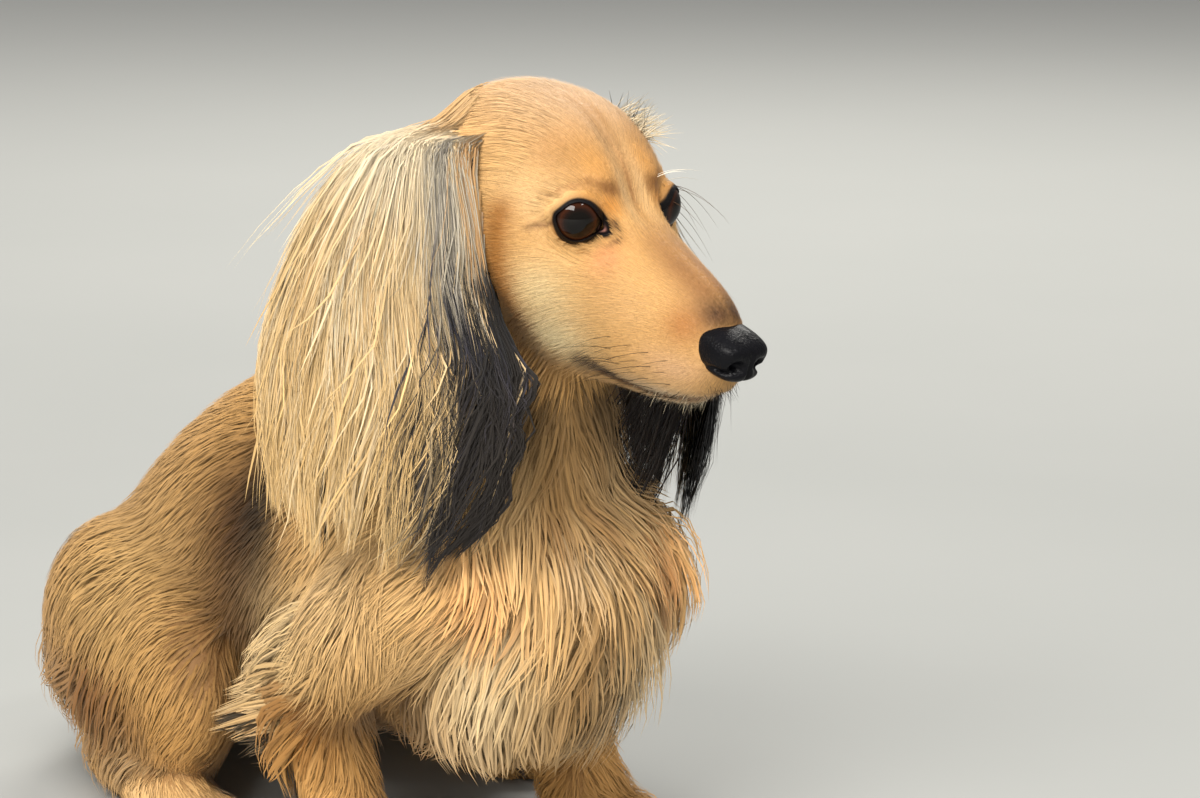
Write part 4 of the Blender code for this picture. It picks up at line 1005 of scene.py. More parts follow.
def tuftMesh(name, paths, widths, over, colours, roots, material, thin=0.5, soft=0.75):
    # rings of three corners carried along each path, wide across it and thin over it, and a point at its tip;
    # shading normals lean by the soft share to the way out of the skin, so that the tufts look like one coat
    count, steps = paths.shape[:2]
    tangent = unit(np.gradient(paths, axis=1))
    across = unit(np.cross(over, tangent))
    upward = np.cross(tangent, across)
    half = 0.5 * widths[..., None]
    turn = np.radians(tuft["corners"])[:, None]
    beside, above = across[:, :-1, None] * np.cos(turn), upward[:, :-1, None] * np.sin(turn)
    rings = paths[:, :-1, None] + (beside * tuft["wide"] + above * thin) * half[:, :-1, None]
    rings[..., 2] = np.maximum(rings[..., 2], tuft["lowest"])
    tips = paths[:, -1:]
    tips[..., 2] = np.maximum(tips[..., 2], tuft["lowestTip"])
    facing = unit(unit(over)[:, :-1, None] * soft + (beside + above) * (1.1 - soft)).reshape(count, -1, 3)
    normals = np.concatenate([facing, unit(over)[:, -1:]], 1).reshape(-1, 3)
    points = np.concatenate([rings.reshape(count, -1, 3), tips], 1)
    corners = faceCorners(steps)
    faces = corners[..., 1] * 3 + corners[..., 0] % 3
    faces = np.where(corners[..., 1] < steps - 1, faces, 3 * (steps - 1)).astype(int)
    allFaces = (faces[None] + (np.arange(count) * points.shape[1])[:, None, None]).reshape(-1, 3)
    ringColours = np.repeat(colours[:, :-1], 3, 1)
    allColours = np.concatenate([ringColours, colours[:, -1:]], 1).reshape(-1, 3)
    obj = addMesh(name, points.reshape(-1, 3), allFaces, material, allColours)
    obj.data.normals_split_custom_set_from_vertices(normals.astype(np.float32))
    uv = roots[:, None, None] + tuft["patch"] * (corners / [3, steps - 1])[None]
    layer = obj.data.uv_layers.new(name="OFBake")
    layer.data.foreach_set("uv", uv.astype(np.float32).ravel())
    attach(obj, "root")
    print(name, count, "tufts,", len(allFaces), "triangles")
    return obj


def nearestOf(points, seeds):  # the index of the nearest seed, in chunks
    found = np.empty(len(points), int)
    size = (seeds**2).sum(1)
    for start in range(0, len(points), 4000):
        part = points[start:start + 4000]
        found[start:start + 4000] = (size - 2 * part @ seeds.T).argmin(1)
    return found


def gathered(paths, draw, each, pull, power=1.4):
    # tufts drawn together towards one in every few, more at the tip
    seeds = draw.choice(len(paths), max(1, len(paths) // each), replace=False)
    leader = seeds[nearestOf(paths[:, 0], paths[seeds, 0])]
    share = np.linspace(0, 1, paths.shape[1])[None, :, None] ** power
    return paths + (paths[leader] - paths) * share * pull


def formCloud(along=60, around=72):  # places on all the forms, with the form, share and turn of each
    share, turn = wrapped(along, around, True)
    places = np.concatenate([form(share, turn) for form in forms.values()])
    count = len(forms)
    return places, np.repeat(np.arange(count), len(share)), np.tile(share, count), np.tile(turn, count)


cloudPlaces, cloudForm, cloudShare, cloudTurn = formCloud()
cloudBase, cloudCells = spreadCells(cloudPlaces, 0.014)
skinCorners = skinPoints[skinFaces]
skinCentres = skinCorners.mean(1)
skinSpans = skinCorners[:, 2:] - skinCorners[:, :2]
skinAreas = 0.5 * np.linalg.norm(np.cross(skinSpans[:, 0], skinSpans[:, 1]), axis=1)
skinForm = cloudForm[inCells(skinCentres, cloudBase, cloudCells)]
skinLengths = np.concatenate([coatAt(part)[1] for part in np.array_split(skinCentres, 12)])


def spreadRoots(names, count, keep, draw):
    # places spread over the faces of some forms, closer together where the hair is short
    wanted = np.isin(skinForm, [list(forms).index(name) for name in names]) & keep(skinCentres)
    total = np.cumsum(skinAreas * wanted * (0.02 / skinLengths) ** 0.7)
    face = np.searchsorted(total, (np.arange(count) + draw.uniform(0, 1, count)) / count * total[-1])
    corners = skinCorners[np.minimum(face, len(skinFaces) - 1)]
    u, v = draw.uniform(0, 1, (2, count, 1))
    start, end = (corners[:, a] * (1 - u) + corners[:, b] * u for a, b in ((0, 1), (3, 2)))
    root = start * (1 - v) + end * v
    at = inCells(root, cloudBase, cloudCells)
    unwrap = np.stack([cloudShare[at], cloudTurn[at] / (2 * math.pi)], 1)
    return root, np.clip(unwrap + draw.uniform(-0.008, 0.008, (count, 2)), 0.002, 0.995)


def shade(colours, draw, spread, paths, rootDark=0.9, tipLight=1.04):
    # each tuft a little lighter or darker than the markings, dark at its root and light at its tip
    count, steps = paths.shape[:2]
    own = np.exp(draw.normal(0, spread, (count, 1, 1)))
    warm = 1 + draw.normal(0, 0.03, (count, 1, 1)) * np.array([0.3, 0, -1.0])
    along = np.linspace(rootDark, tipLight, steps)[None, :, None]
    return np.clip(colours * own * warm * along, 0.002, 0.97)


def coatPiece(name, names, count, steps, width, draw, keep,
              lengthen=1.0, raised=1.0, each=6, pull=0.3, spread=0.05, thin=0.3, sunk=0.001):
    # a coat of tufts over some forms, each carried along the lie of the coat from its root
    root, unwrap = spreadRoots(names, count, keep, draw)
    normal = onSkin(root)[1]
    over = held(normal, steps)
    way, length, height, wild = coatAt(root)
    length = length * lengthen * draw.uniform(0.75, 1.2, count)
    # half of them are wide and lie low, the others are fine and lie over them
    fine = draw.uniform(size=count) < 0.5
    lift = height * raised * draw.uniform(0.35, 1.0, count) * np.where(fine, 1.1, 0.75)
    width = width * np.where(fine, 0.55, 1.15)
    here = root - normal * sunk
    path = [here]
    swerve = waves(root, 0.035) * wild[:, None] + waves(root + 0.4, 0.012) * wild[:, None] * 0.4
    swerve = swerve + draw.normal(0, 0.08, root.shape) * (0.5 + wild[:, None])
    for i in range(1, steps):
        s = i / (steps - 1)
        here = here + flat(way + swerve, normal) * (length / (steps - 1))[:, None]
        gap, normal = overSkin(here)
        wanted = lift * (1 - (1 - s) ** 2) + wild * length * 0.1 * raised * s**2
        here = here + normal * (wanted - gap)[:, None]
        if i % 2 == 0:
            way = coatAt(here)[0]
        path.append(here)
    paths = gathered(np.stack(path, 1), draw, each, pull)
    width = width * draw.uniform(0.7, 1.15, count) * np.sqrt(length / 0.02).clip(0.45, 1.3)
    widths = width[:, None] * taperOf(steps)
    # the markings are those of the tuft's outer part, which is what shows
    shown = markings(0.35 * paths[:, 0] + 0.65 * paths[:, -1])
    colours = shade(held(shown, steps), draw, spread, paths)
    return tuftMesh(name, paths, widths, over, colours, unwrap, coatHair, thin, 0.9)


def coatMaterial(name, rough, specular, sheen):
    # fine lines run along each tuft, so that it looks like several hairs side by side
    shader = Shader(name, rough, Specular_IOR_Level=specular, Sheen_Weight=sheen, Sheen_Roughness=0.5)
    colour = shader.coat()
    patch = shader.add("UVMap", {}, uv_map="OFBake")["UV"]
    lines = shader.add("Mapping", {"Vector": patch, "Scale": (2400.0, 200.0, 1.0)})["Vector"]
    hair = shader.noise(lines, 1.0, 2.0)
    shader.feed("Base Color", shader.vectors("SCALE", {0: colour, "Scale": 0.7 + hair * 0.6})["Vector"])
    shader.bump(hair, 0.0002, 0.5)
    return shader.material


def skinMaterial():
    shader = Shader("skin_short_hair", 0.62, Specular_IOR_Level=0.3)
    colour = shader.coat()
    place = shader.place()
    grain = shader.noise(place, 700.0, 4.0)
    shader.feed("Base Color", shader.blend(grain * 0.5, colour, tint(150, 104, 62)))
    shader.bump(grain, 0.0006)
    return shader.material


coatHair = coatMaterial("coat_hair", 0.6, 0.16, 0.12)
earHairLook = coatMaterial("ear_hair", 0.45, 0.3, 0.15)
skinHair = skinMaterial()


def paintSkin():
    return mixed(markings(skinPoints) * 0.8, tint(42, 28, 26), bell(mouthGroove(skinPoints) / 0.0018))


skinObject = addMesh("skin", skinPoints, skinFaces, skinHair, paintSkin())
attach(skinObject, "root")
fleshNodes = [name for name in frame["nodes"] if not name.startswith(("eye", "nose"))]
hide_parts(*fleshNodes)


# Coat over the body, in pieces small enough to bake
def everywhere(points):
    return np.ones(len(points), bool)


bareNose = {"centre": [0.063, 0, -0.0278], "reach": [0.0085, 0.0108, 0.008]}


def clearOfEyes(points):  # and of the mouth and the nose leather
    free = mouthGroove(points) > 0.001
    for side in (1, -1):
        spread, turn, height = inOpening(points, side)
        free &= (spread > lidEdge(turn) + 0.05) | (height < -0.004)
    noseGap = np.linalg.norm((toHead(points) - bareNose["centre"]) / bareNose["reach"], axis=1)
    return free & (noseGap > 1)


def isLeft(points):
    return points[:, 1] >= 0


def halfOfBody(left):
    return lambda points: isLeft(points) == left


def halfOfFace(left):
    return lambda points: clearOfEyes(points) & (isLeft(toHead(points)) == left)


under = {"lengthen": 0.6, "raised": 0.3}  # short hair below the rest
sleek = {"raised": 0.48, "each": 4, "pull": 0.15}
draw = np.random.default_rng(5)
for sideName, left in (("right", False), ("left", True)):
    # the shortest hair needs no bend, so each tuft is one spike
    half = halfOfFace(left)
    coatPiece(f"coat_face_{sideName}", ["head"], 30000, 2, 0.0005, draw, half, each=5, pull=0.1, sunk=0.0003)
coatPiece("coat_neck", ["neck"], 6500, 3, 0.001, draw, everywhere, raised=0.7)
coatPiece("under_neck", ["neck"], 4000, 2, 0.001, draw, everywhere, **under)
for sideName, left in (("right", False), ("left", True)):
    arm, foreFoot, leg, foot = (f"{part}_{sideName}" for part in ("arm", "paw", "thigh", "foot"))
    half = halfOfBody(left)
    coatPiece(f"under_body_{sideName}", ["torso", leg], 10000, 2, 0.0012, draw, half, **under)
    coatPiece(f"under_foreleg_{sideName}", [arm], 3000, 2, 0.001, draw, everywhere, **under)
    coatPiece(f"coat_torso_{sideName}", ["torso"], 11500, 3, 0.0011, draw, half, **sleek)
    coatPiece(f"coat_foreleg_{sideName}", [arm, foreFoot], 6300, 3, 0.001, draw, everywhere, raised=0.8)
    coatPiece(f"coat_hindleg_{sideName}", [leg, foot], 7200, 3, 0.0011, draw, everywhere, **sleek)
coatPiece("coat_tail", ["tail"], 2000, 4, 0.0011, draw, everywhere)
print("coat laid")


# Ears: strands of even length hang from the flap, rooted at s across and t down the sheet
earHair = {
    # strands at the rear, in front and inside, and the steps of each
    "right": (3900, 2500, 500, 7), "left": (1900, 1600, 2900, 5),
    "width": 0.00062, "frontEdge": 0.3, "fine": 0.55, "shortest": 0.14,
    "blond": tint(234, 202, 150), "pale": tint(252, 238, 208), "deep": tint(190, 142, 84),
    "honey": tint(214, 172, 104), "brown": tint(176, 122, 62), "silver": tint(196, 186, 166),
    "slate": tint(116, 110, 104), "ink": tint(17, 17, 22), "inkLight": tint(56, 54, 66),
    "golden": golden,
}
# how the strands lie: along and across the sheet as shares of it, over it in metres
earLie = {
    "fromSkull": 0.14, "length": (0.34, 0.62), "lowest": 1.03, "uneven": 0.045, "locks": (14, 6),
    "curl": 0.012, "curlLow": 0.02, "curlInFront": 0.03, "wave": 0.4,
    "fuller": 0.13, "narrower": (0.05, 0.06), "height": (0.0022, 0.0062), "atTop": 0.0036,
    "inwards": 0.034, "strays": 0.06, "strayFar": 0.009,
}


def earColours(s, t, tone, inner, far):
    # blond behind, silver in front at the top, ink in front lower down, with single strands of the others
    def plain(name):
        return np.broadcast_to(earHair[name], s.shape + (3,))

    blond = mixed(plain("blond"), earHair["pale"], fade(tone, 0.5, 0.95))
    blond = mixed(blond, earHair["deep"], fade(-tone, -0.3, 0.0) * 0.75)
    grey = mixed(plain("silver"), earHair["slate"], fade(tone, 0.5, 0.85))
    grey = mixed(grey, earHair["blond"], fade(-tone, -0.36, -0.26) * 0.85)
    dark = mixed(plain("ink"), earHair["inkLight"], fade(tone, 0.6, 0.9))
    blond = mixed(blond, earHair["honey"], fade(t, 0.4, 0.85) * 0.55 + fade(s, 0.6, 0.95) * 0.25)
    blond = mixed(blond, earHair["pale"], (1 - fade(t, 0.1, 0.34)) * 0.65)
    # how far back the ink goes at each level
    edge = np.interp(t, [0.36, 0.46, 0.56, 0.66, 0.76, 0.88, 1.0], [0.0, 0.12, 0.21, 0.27, 0.3, 0.28, 0.24])
    low = 1 - fade(s - edge - 0.26 * (tone - 0.5), -0.03, 0.03)
    inFront = 1 - fade(s - 0.07 * (tone - 0.5), 0.12, 0.26)
    colour = mixed(blond, grey, inFront * (1 - fade(t, 0.55, 0.75)) * 0.95)
    colour = mixed(colour, dark, low * fade(t, 0.34, 0.44) * 0.98)
    # a blond lock in the ink, a brown fringe above it, single blond strands in front, ink tips, golden roots
    tip = fade(t + 0.25 * (tone - 0.5), 0.92, 1.0) * fade(s, 0.12, 0.18) * (1 - fade(s, 0.4, 0.6))
    for name, share in (
        ("blond", bell((s - 0.205) / 0.022) * fade(t, 0.66, 0.72) * (1 - fade(t, 0.94, 1.0)) * 0.9),
        ("brown", fade(-s, -0.05, 0.0) * (1 - fade(t, 0.35, 0.45)) * (tone < 0.4) * 0.7),
        ("blond", fade(-s, -0.04, 0.02) * fade(t, 0.4, 0.5) * (tone > 0.86) * 0.8),
        ("ink", tip * (tone < 0.4) * 0.9), ("golden", fade(-t, -0.04, 0.05) * 0.8),
    ):
        colour = mixed(colour, earHair[name], share)
    if far:  # painted rim light: its top is pale all round
        colour = mixed(colour, earHair["pale"], (1 - fade(t, 0.12, 0.34)) * 0.8)
    if inner:
        colour = mixed(plain("deep") * 0.8, earHair["brown"] * 0.6, fade(tone, 0.3, 0.7))
        colour = mixed(colour, dark, fade(t, 0.25, 0.42) * np.where(tone < 0.88, 0.97, 0.4))
        # the far ear's inner strands are pale at the top too: painted rim light
        colour = mixed(colour, earHair["pale"], (1 - fade(t, 0.06, 0.22)) * 0.7 * far)
    return colour


def earStrands(name, side, count, steps, span, draw, inner=False):
    s = draw.uniform(*span, count)
    t = draw.uniform(0, 1.0, count) ** 1.2 * 0.72 - 0.12
    fromSkull = draw.uniform(size=count) < earLie["fromSkull"]
    t = np.where(fromSkull, draw.uniform(-0.3, -0.06, count), t)
    # in front the skull stays bare of them
    t = np.maximum(t, -0.02 - 0.3 * fade(s, 0.22, 0.5))
    if inner:
        t = draw.uniform(0.02, 0.62, count)
    length = draw.uniform(*earLie["length"], count)
    # the ear's lower edge is uneven, and a little higher at its rear
    uneven = earLie["uneven"] * np.sin(31 * s) * np.sin(13 * s + 1)
    lowest = earLie["lowest"] + 0.04 * (side > 0) - 0.05 * fade(s, 0.7, 0.95) + uneven
    end = np.minimum(t + length, lowest + draw.normal(0, earLie["uneven"], count))
    end = np.maximum(end, t + earHair["shortest"])
    share = np.linspace(0, 1, steps)
    down = t[:, None] + (end - t)[:, None] * share
    # locks by their place, each with its own waves, which are widest low in front
    clump = np.floor(s * earLie["locks"][0]) + np.floor(t * earLie["locks"][1]) * 31
    phase = (clump * 2.399) % (2 * math.pi)
    inFront = (1 - fade(s, 0.26, 0.42))[:, None]
    curly = earLie["curl"] + earLie["curlLow"] * fade(down, 0.35, 0.85)
    curly = curly + earLie["curlInFront"] * fade(down, 0.4, 0.9) * inFront
    wander = curly * np.sin(6.5 * down / earLie["wave"] + phase[:, None])
    wander = wander + draw.normal(0, 0.014, (count, 1)) * share
    wander = wander + 0.3 * curly * np.sin(27 * down + 2 * phase[:, None]) * fade(down, 0.35, 0.6)
    # the top of the ear is fuller at its rear than the sheet, and its lower part narrower
    full = earLie["fuller"] * bell((down - 0.14) / 0.12) * fade(s, 0.45, 0.95)[:, None]
    allOver, behind = (by * fade(down, 0.5, 0.8) for by in earLie["narrower"])
    narrower = allOver + behind * fade(s, 0.6, 1.0)[:, None]
    across = s[:, None] * (1 - narrower) + wander + full + 0.03 * (1 - fade(down, 0.0, 0.12))
    middle, out = earSheet(across.ravel(), down.ravel())
    middle, out = middle.reshape(count, steps, 3), out.reshape(count, steps, 3)
    # over the flap's root the strands come from the side of the skull
    above = np.clip(-down, 0, None)[..., None]
    middle = middle + above * np.array([0.0, -0.085, 0.045])
    fine = draw.uniform(size=(count, 1)) < earHair["fine"]
    low, rising = earLie["height"]
    lift = (low + rising * share) * draw.uniform(0.3, 1.0, (count, 1)) * np.where(fine, 1.1, 0.6)
    lift = lift + 0.0012 * (draw.uniform(size=(count, 1)) > 0.85) * share
    atTop = fade(down, -0.05, 0.08) * (1 - fade(down, 0.1, 0.3))
    lift = lift + earLie["atTop"] * atTop * draw.uniform(0.3, 1.0, (count, 1))
    lift[:, 0] = 0.0002
    if inner:
        # strands near the front edge fall inwards before the throat
        inwards = 0.004 + earLie["inwards"] * (1 - fade(s, 0.12, 0.35)) * (1 if side > 0 else 0.3)
        lift = -0.0016 - inwards[:, None] * share * draw.uniform(0.15, 1.0, (count, 1))
    paths = fromHead((middle + out * lift[..., None]) * [1, side, 1])
    if not inner:
        # above the ear they lie on the skull, and are rooted in it
        gap, normal = overSkin(paths)
        rise = np.where(down < 0.02, np.clip(0.001 + 0.004 * share - gap, -0.03, 0.03), 0.0)
        rise[:, 0] = np.where(down[:, 0] < 0.02, -0.0006 - gap[:, 0], 0.0)
        paths = paths + normal * rise[..., None]
    over = (out * [1, side, 1]) @ axesOfHead * (-1 if inner else 1)
    paths = gathered(gathered(paths, draw, 24, 0.55, 2.0), draw, 5, 0.35, 1.2)
    # single strands stand away from the rest
    stray = draw.uniform(size=(count, 1)) > 1 - earLie["strays"]
    stray = stray * np.abs(draw.normal(0, earLie["strayFar"], (count, 1))) * share**2
    paths = paths + (over + [-0.7, 0, 0.2]) * stray[..., None]
    # strands of one lock are of a kind
    lockTone = (np.sin(clump * 12.99) * 437.58) % 1
    tone = (0.5 * lockTone + 0.5 * draw.uniform(size=count))[:, None] * np.ones(steps)
    # a strand keeps its colour along its length, so it is picked nearer to its tip than each point is
    sTone = 0.4 * across + 0.6 * across[:, -1:]
    tTone = np.where(down < 0.3, down, 0.55 * down + 0.45 * np.minimum(down[:, -1:], 0.85))
    colours = shade(earColours(sTone, tTone, tone, inner, side > 0), draw, 0.07, paths, 0.88, 1.04)
    taper = np.interp(share, [0, 0.3, 0.75, 1], [0.7, 1.0, 0.7, 0.0])
    widths = earHair["width"] * draw.uniform(0.7, 1.2, (count, 1)) * np.where(fine, 0.6, 1.9) * taper
    roots = np.stack([s * 0.98 + 0.005, np.clip(t + 0.3, 0, 1) * 0.98 + 0.005], 1)
    return tuftMesh(name, paths, widths, over, colours, roots, earHairLook, 0.25, 0.75)


for sideName, sideSign in (("right", -1), ("left", 1)):
    rear, front, inside, steps = earHair[sideName]
    edge = earHair["frontEdge"]
    earStrands(f"ear_hair_rear_{sideName}", sideSign, rear, steps, (edge, 0.99), draw)
    earStrands(f"ear_hair_front_{sideName}", sideSign, front, steps, (-0.02, edge + 0.03), draw)
    earStrands(f"ear_hair_inside_{sideName}", sideSign, inside, steps, (0.02, 0.98), draw, inner=True)


# Feathering: longer hair at the breast, elbows, belly, backs of the thighs and along the tail
def within(low, high):  # keeps the places between two corners
    return lambda points: ((points > low) & (points < high)).all(1)


def besideEars(points):  # the crown's sides, where its hair sweeps over the roots of the ears
    inHead = toHead(points)
    return (inHead[:, 0] < -0.016) & (np.abs(inHead[:, 1]) > 0.012) & (inHead[:, 2] > 0.01)


def looseTufts(name, names, count, keep, way, length, width, draw, steps=5):
    # each leaves along the skin and turns towards one way in the air, kept clear of the skin below it
    root, unwrap = spreadRoots(names, count, keep, draw)
    normal = onSkin(root)[1]
    free = unit(way * mirrors(np.sign(root[:, 1])) + draw.normal(0, 0.08, root.shape))
    s = np.linspace(0, 1, steps)[None, :, None]
    reach = (length * draw.uniform(0.5, 1.1, count))[:, None, None]
    turning = flat(free, normal)[:, None] * (s - 0.5 * s**2) + free[:, None] * 0.5 * s**2
    paths = (root - normal * 0.001)[:, None] + reach * turning
    gap, near = overSkin(paths)
    rise = np.clip(0.006 * s[..., 0] - gap, 0, None) * (s[..., 0] > 0)
    paths = gathered(paths + near * rise[..., None], draw, 16, 0.7)
    tone = markings(root) * 0.4 + tint(238, 202, 146) * 0.6
    colours = shade(held(tone, steps), draw, 0.06, paths)
    widths = width * draw.uniform(0.7, 1.15, (count, 1)) * taperOf(steps)
    return tuftMesh(name, paths, widths, held(normal, steps), colours, unwrap, coatHair, 0.3, 0.9)


coatPiece("feather_breast", ["torso", "neck"], 1500, 5, 0.0011, draw,
          within([0.05, -0.06, 0.06], [0.2, 0.06, 0.19]), lengthen=1.25, raised=1.5, each=9, pull=0.6)
coatPiece("feather_belly", ["torso"], 500, 5, 0.0012, draw,
          within([-0.05, -0.05, 0.0], [0.2, 0.05, 0.062]), lengthen=0.8, raised=1.2, each=9, pull=0.6)
coatPiece("feather_crown", ["head"], 2600, 4, 0.00034, draw, besideEars, lengthen=1.4, each=9)
for sideName, low, high in (("right", -0.2, 0.0), ("left", 0.0, 0.2)):
    coatPiece(f"feather_elbow_{sideName}", [f"arm_{sideName}"], 450, 5, 0.0012, draw,
              within([-0.02, low, 0.056], [0.02, high, 0.105]), lengthen=1.4, raised=2.2, each=14, pull=0.7)
    looseTufts(f"loose_elbow_{sideName}", [f"arm_{sideName}"], 750,
               within([-0.02, low, 0.058], [0.016, high, 0.098]), [-0.8, 0.44, -0.34], 0.046, 0.0011, draw)
    coatPiece(f"feather_thigh_{sideName}", [f"thigh_{sideName}"], 550, 5, 0.0012, draw,
              within([-0.2, low, 0.01], [-0.08, high, 0.06]), lengthen=1.2, raised=1.3, each=9, pull=0.5)
coatPiece("feather_shoulder_left", ["torso", "arm_left"], 550, 5, 0.0012, draw,
          within([0.06, 0.02, 0.075], [0.2, 0.1, 0.135]), lengthen=1.3, raised=2.2, each=10, pull=0.6)


def tailPlume(draw, count=1300, steps=5):  # hair that lies out to both sides of the tail, towards its tip
    share = draw.uniform(0.12, 0.99, count)
    turn = draw.normal(0, 0.5, count) + math.pi / 2 * draw.choice([-1, 1], count)
    root = forms["tail"](share, turn)
    ahead = unit(forms["tail"](np.minimum(share + 0.02, 1), turn) - forms["tail"](share - 0.02, turn))
    normal = onSkin(root)[1]
    beside = unit(np.cross(ahead, [0, 0, 1.0]))
    beside = beside * np.sign((beside * normal).sum(1, keepdims=True))
    way = unit(ahead + beside * draw.uniform(0.3, 0.75, (count, 1)))
    length = 0.038 * draw.uniform(0.6, 1.1, count) * (1 - 0.35 * share)
    s = np.linspace(0, 1, steps)[None, :, None]
    paths = root[:, None] + way[:, None] * length[:, None, None] * s - beside[:, None] * (0.006 * s**2)
    fall = (draw.uniform(0.001, 0.01, count) - root[:, 2])[:, None] * s[..., 0] ** 1.3
    paths[..., 2] = np.maximum(root[:, 2, None] + fall, 0.0009)
    paths = gathered(paths, draw, 8, 0.55)
    over = held(unit(normal + [0, 0, 0.6]), steps)
    widths = 0.0014 * draw.uniform(0.7, 1.15, (count, 1)) * taperOf(steps)
    colours = shade(held(markings(root), steps), draw, 0.08, paths)
    roots = np.stack([share * 0.99, (turn / (2 * math.pi)) % 1 * 0.99], 1)
    return tuftMesh("feather_tail", paths, widths, over, colours, roots, coatHair, 0.3)


tailPlume(draw)
print("ears and feathering laid")


# Eyes: a ball with a bulged cornea, brown iris and dark pupil
def eyeMaterial(name, centre, gaze):
    # distance from the line of sight picks pupil, iris, its dark edge or the dark white
    shader = Shader(name, 0.25, Specular_IOR_Level=0.0, Coat_Roughness=0.02, Coat_Weight=0.5, Coat_IOR=1.52)
    place = shader.place()
    offset = shader.vectors("SUBTRACT", {0: place, 1: tuple(centre)})["Vector"]
    square = shader.vectors("DOT_PRODUCT", {0: offset, 1: offset})["Value"]
    ahead = shader.vectors("DOT_PRODUCT", {0: offset, 1: tuple(gaze)})["Value"]
    away = (square - ahead * ahead) ** 0.5 * (1 / eye["radius"])
    fibres = shader.noise(place, 1400.0, 3.0)
    black, pupil, iris = (0.004, 0.003, 0.002), eye["pupil"] / eye["radius"], eye["iris"] / eye["radius"]
    ring = shader.ramp(away, [
        (0.0, (0.003, 0.002, 0.002)), (pupil, black), (pupil + 0.12, tint(30, 15, 9)),
        (0.62, tint(66, 31, 13)), (iris, tint(34, 17, 10)), (iris + 0.06, tint(9, 6, 6)),
    ])
    shader.feed("Base Color", shader.blend(fibres * 0.6, ring, black))
    return shader.material


def addEye(name, side):
    centre, gaze = eyeAxes(side)[:2]
    points, faces = ball(np.zeros(3), np.ones(3) * eye["radius"], 64, 41)
    ahead = points @ gaze
    away = np.sqrt(np.clip((points**2).sum(1) - ahead**2, 0, None))
    bulge = 0.0003 * bell(away / 0.0062) * (ahead > 0)
    points = points + gaze * bulge[:, None]
    made = addMesh(f"eyeball_{name}", fromHead(points + centre), faces, None)
    made.data.materials.append(eyeMaterial(f"wet_eye_{name}", fromHead(centre) + moved, gaze @ axesOfHead))
    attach(made, "root")
    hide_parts(f"eye_{name}")


def lidMaterial():
    shader = Shader("lid_skin", 0.5, Specular_IOR_Level=0.15)
    colour = shader.coat()
    place = shader.place()
    grain = shader.noise(place, 1500.0, 3.0)
    shader.feed("Base Color", shader.blend(grain * 0.3, colour, (0.01, 0.008, 0.008)))
    shader.bump(grain, 0.0003)
    return shader.material


lidSkin = lidMaterial()


def addLids(name, side):
    turn = np.linspace(0, 2 * math.pi, 144, endpoint=False)
    spread = np.concatenate([[0.965, 0.985], np.linspace(1.0, 1.18, 6), np.linspace(1.22, lid["ring"], 10)])
    centre, gaze, inward, upward = eyeAxes(side)
    a, b = (reach[:, None, None] * spread[:, None] for reach in lidOutline(turn))
    across, around = np.meshgrid(spread, turn)
    height = lidHeight(across, around, lidOuter[side])
    height[:, 0] -= 0.0016
    height -= lid["thick"] * fade(across, 1.34, lid["ring"])
    flatPlace = inward * a + upward * b
    top = flatPlace + gaze * height[..., None]
    below = (flatPlace + gaze * (height - lid["thick"])[..., None])[:, -2:0:-1]
    ring = np.concatenate([top, below], 1)
    across = np.concatenate([across, across[:, -2:0:-1]], 1)
    edge = lidEdge(turn)[:, None]
    dark = 1 - fade(across, edge - 0.02, edge + 0.05)
    brown = 1 - fade(across, edge, edge + 0.26)
    points = fromHead(centre + ring).reshape(-1, 3)
    colours = mixed(markings(points) * 0.95, lid["brown"], brown.ravel() * 0.5)
    colours = mixed(colours, lid["black"], dark.ravel())
    fromTear = (turn + 0.1 + math.pi) % (2 * math.pi) - math.pi
    tear = bell((across - 1.0) / 0.05) * bell(fromTear / 0.16)[:, None]
    colours = mixed(colours, lid["pink"], tear.ravel() * 0.8)
    faces = outward(points, [ringFaces(len(turn), ring.shape[1], closed=True)])
    made = addMesh(f"lids_{name}", points, faces, lidSkin, colours)
    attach(made, "root")


for sideName, sideSign in (("right", -1), ("left", 1)):
    addEye(sideName, sideSign)
    addLids(sideName, sideSign)
print("eyes set")


# Nose leather: a rounded block, narrower below, with comma nostrils and a groove between them
nose = {
    "set": np.array([0.0612, 0.0, -0.0278]), "half": np.array([0.0112, 0.0108, 0.0083]), "square": 2.7,
    "leaning": 0.12, "narrowing": 14.0,
}
# its forms: centre, reach and push, on both sides
nostrils = metres(
    [71.8, 4.8, -30, 5, 2.3, 2, -5.2, 0, 0.4],
    [68.6, 9.6, -32, 6, 3.2, 1.1, -2, -2.4, 0.4],
    [69.6, 7.2, -24.8, 4, 3.5, 3, 0.7, 0.4, 0.3],
    [72.6, 0, -32.8, 4, 0.8, 6, -0.8, 0, 0],
    [69.6, 0, -19.3, 6, 3, 3, 0, 0, -0.4],
)


def noseMaterial():
    shader = Shader("nose_leather_wet", 0.36, Specular_IOR_Level=0.1, Coat_Roughness=0.16, Coat_Weight=0.08)
    place = shader.place()
    pebbles = shader.add("TexVoronoi", {"Vector": place, "Scale": 1300.0})["Distance"]
    cloud = shader.noise(place, 220.0, 3.0)
    shader.feed("Base Color", shader.blend(cloud, (0.002, 0.002, 0.0026), (0.005, 0.005, 0.007)))
    shader.feed("Roughness", 0.3 + cloud * 0.22)
    shader.bump(pebbles, 0.0004, 0.5)
    return shader.material


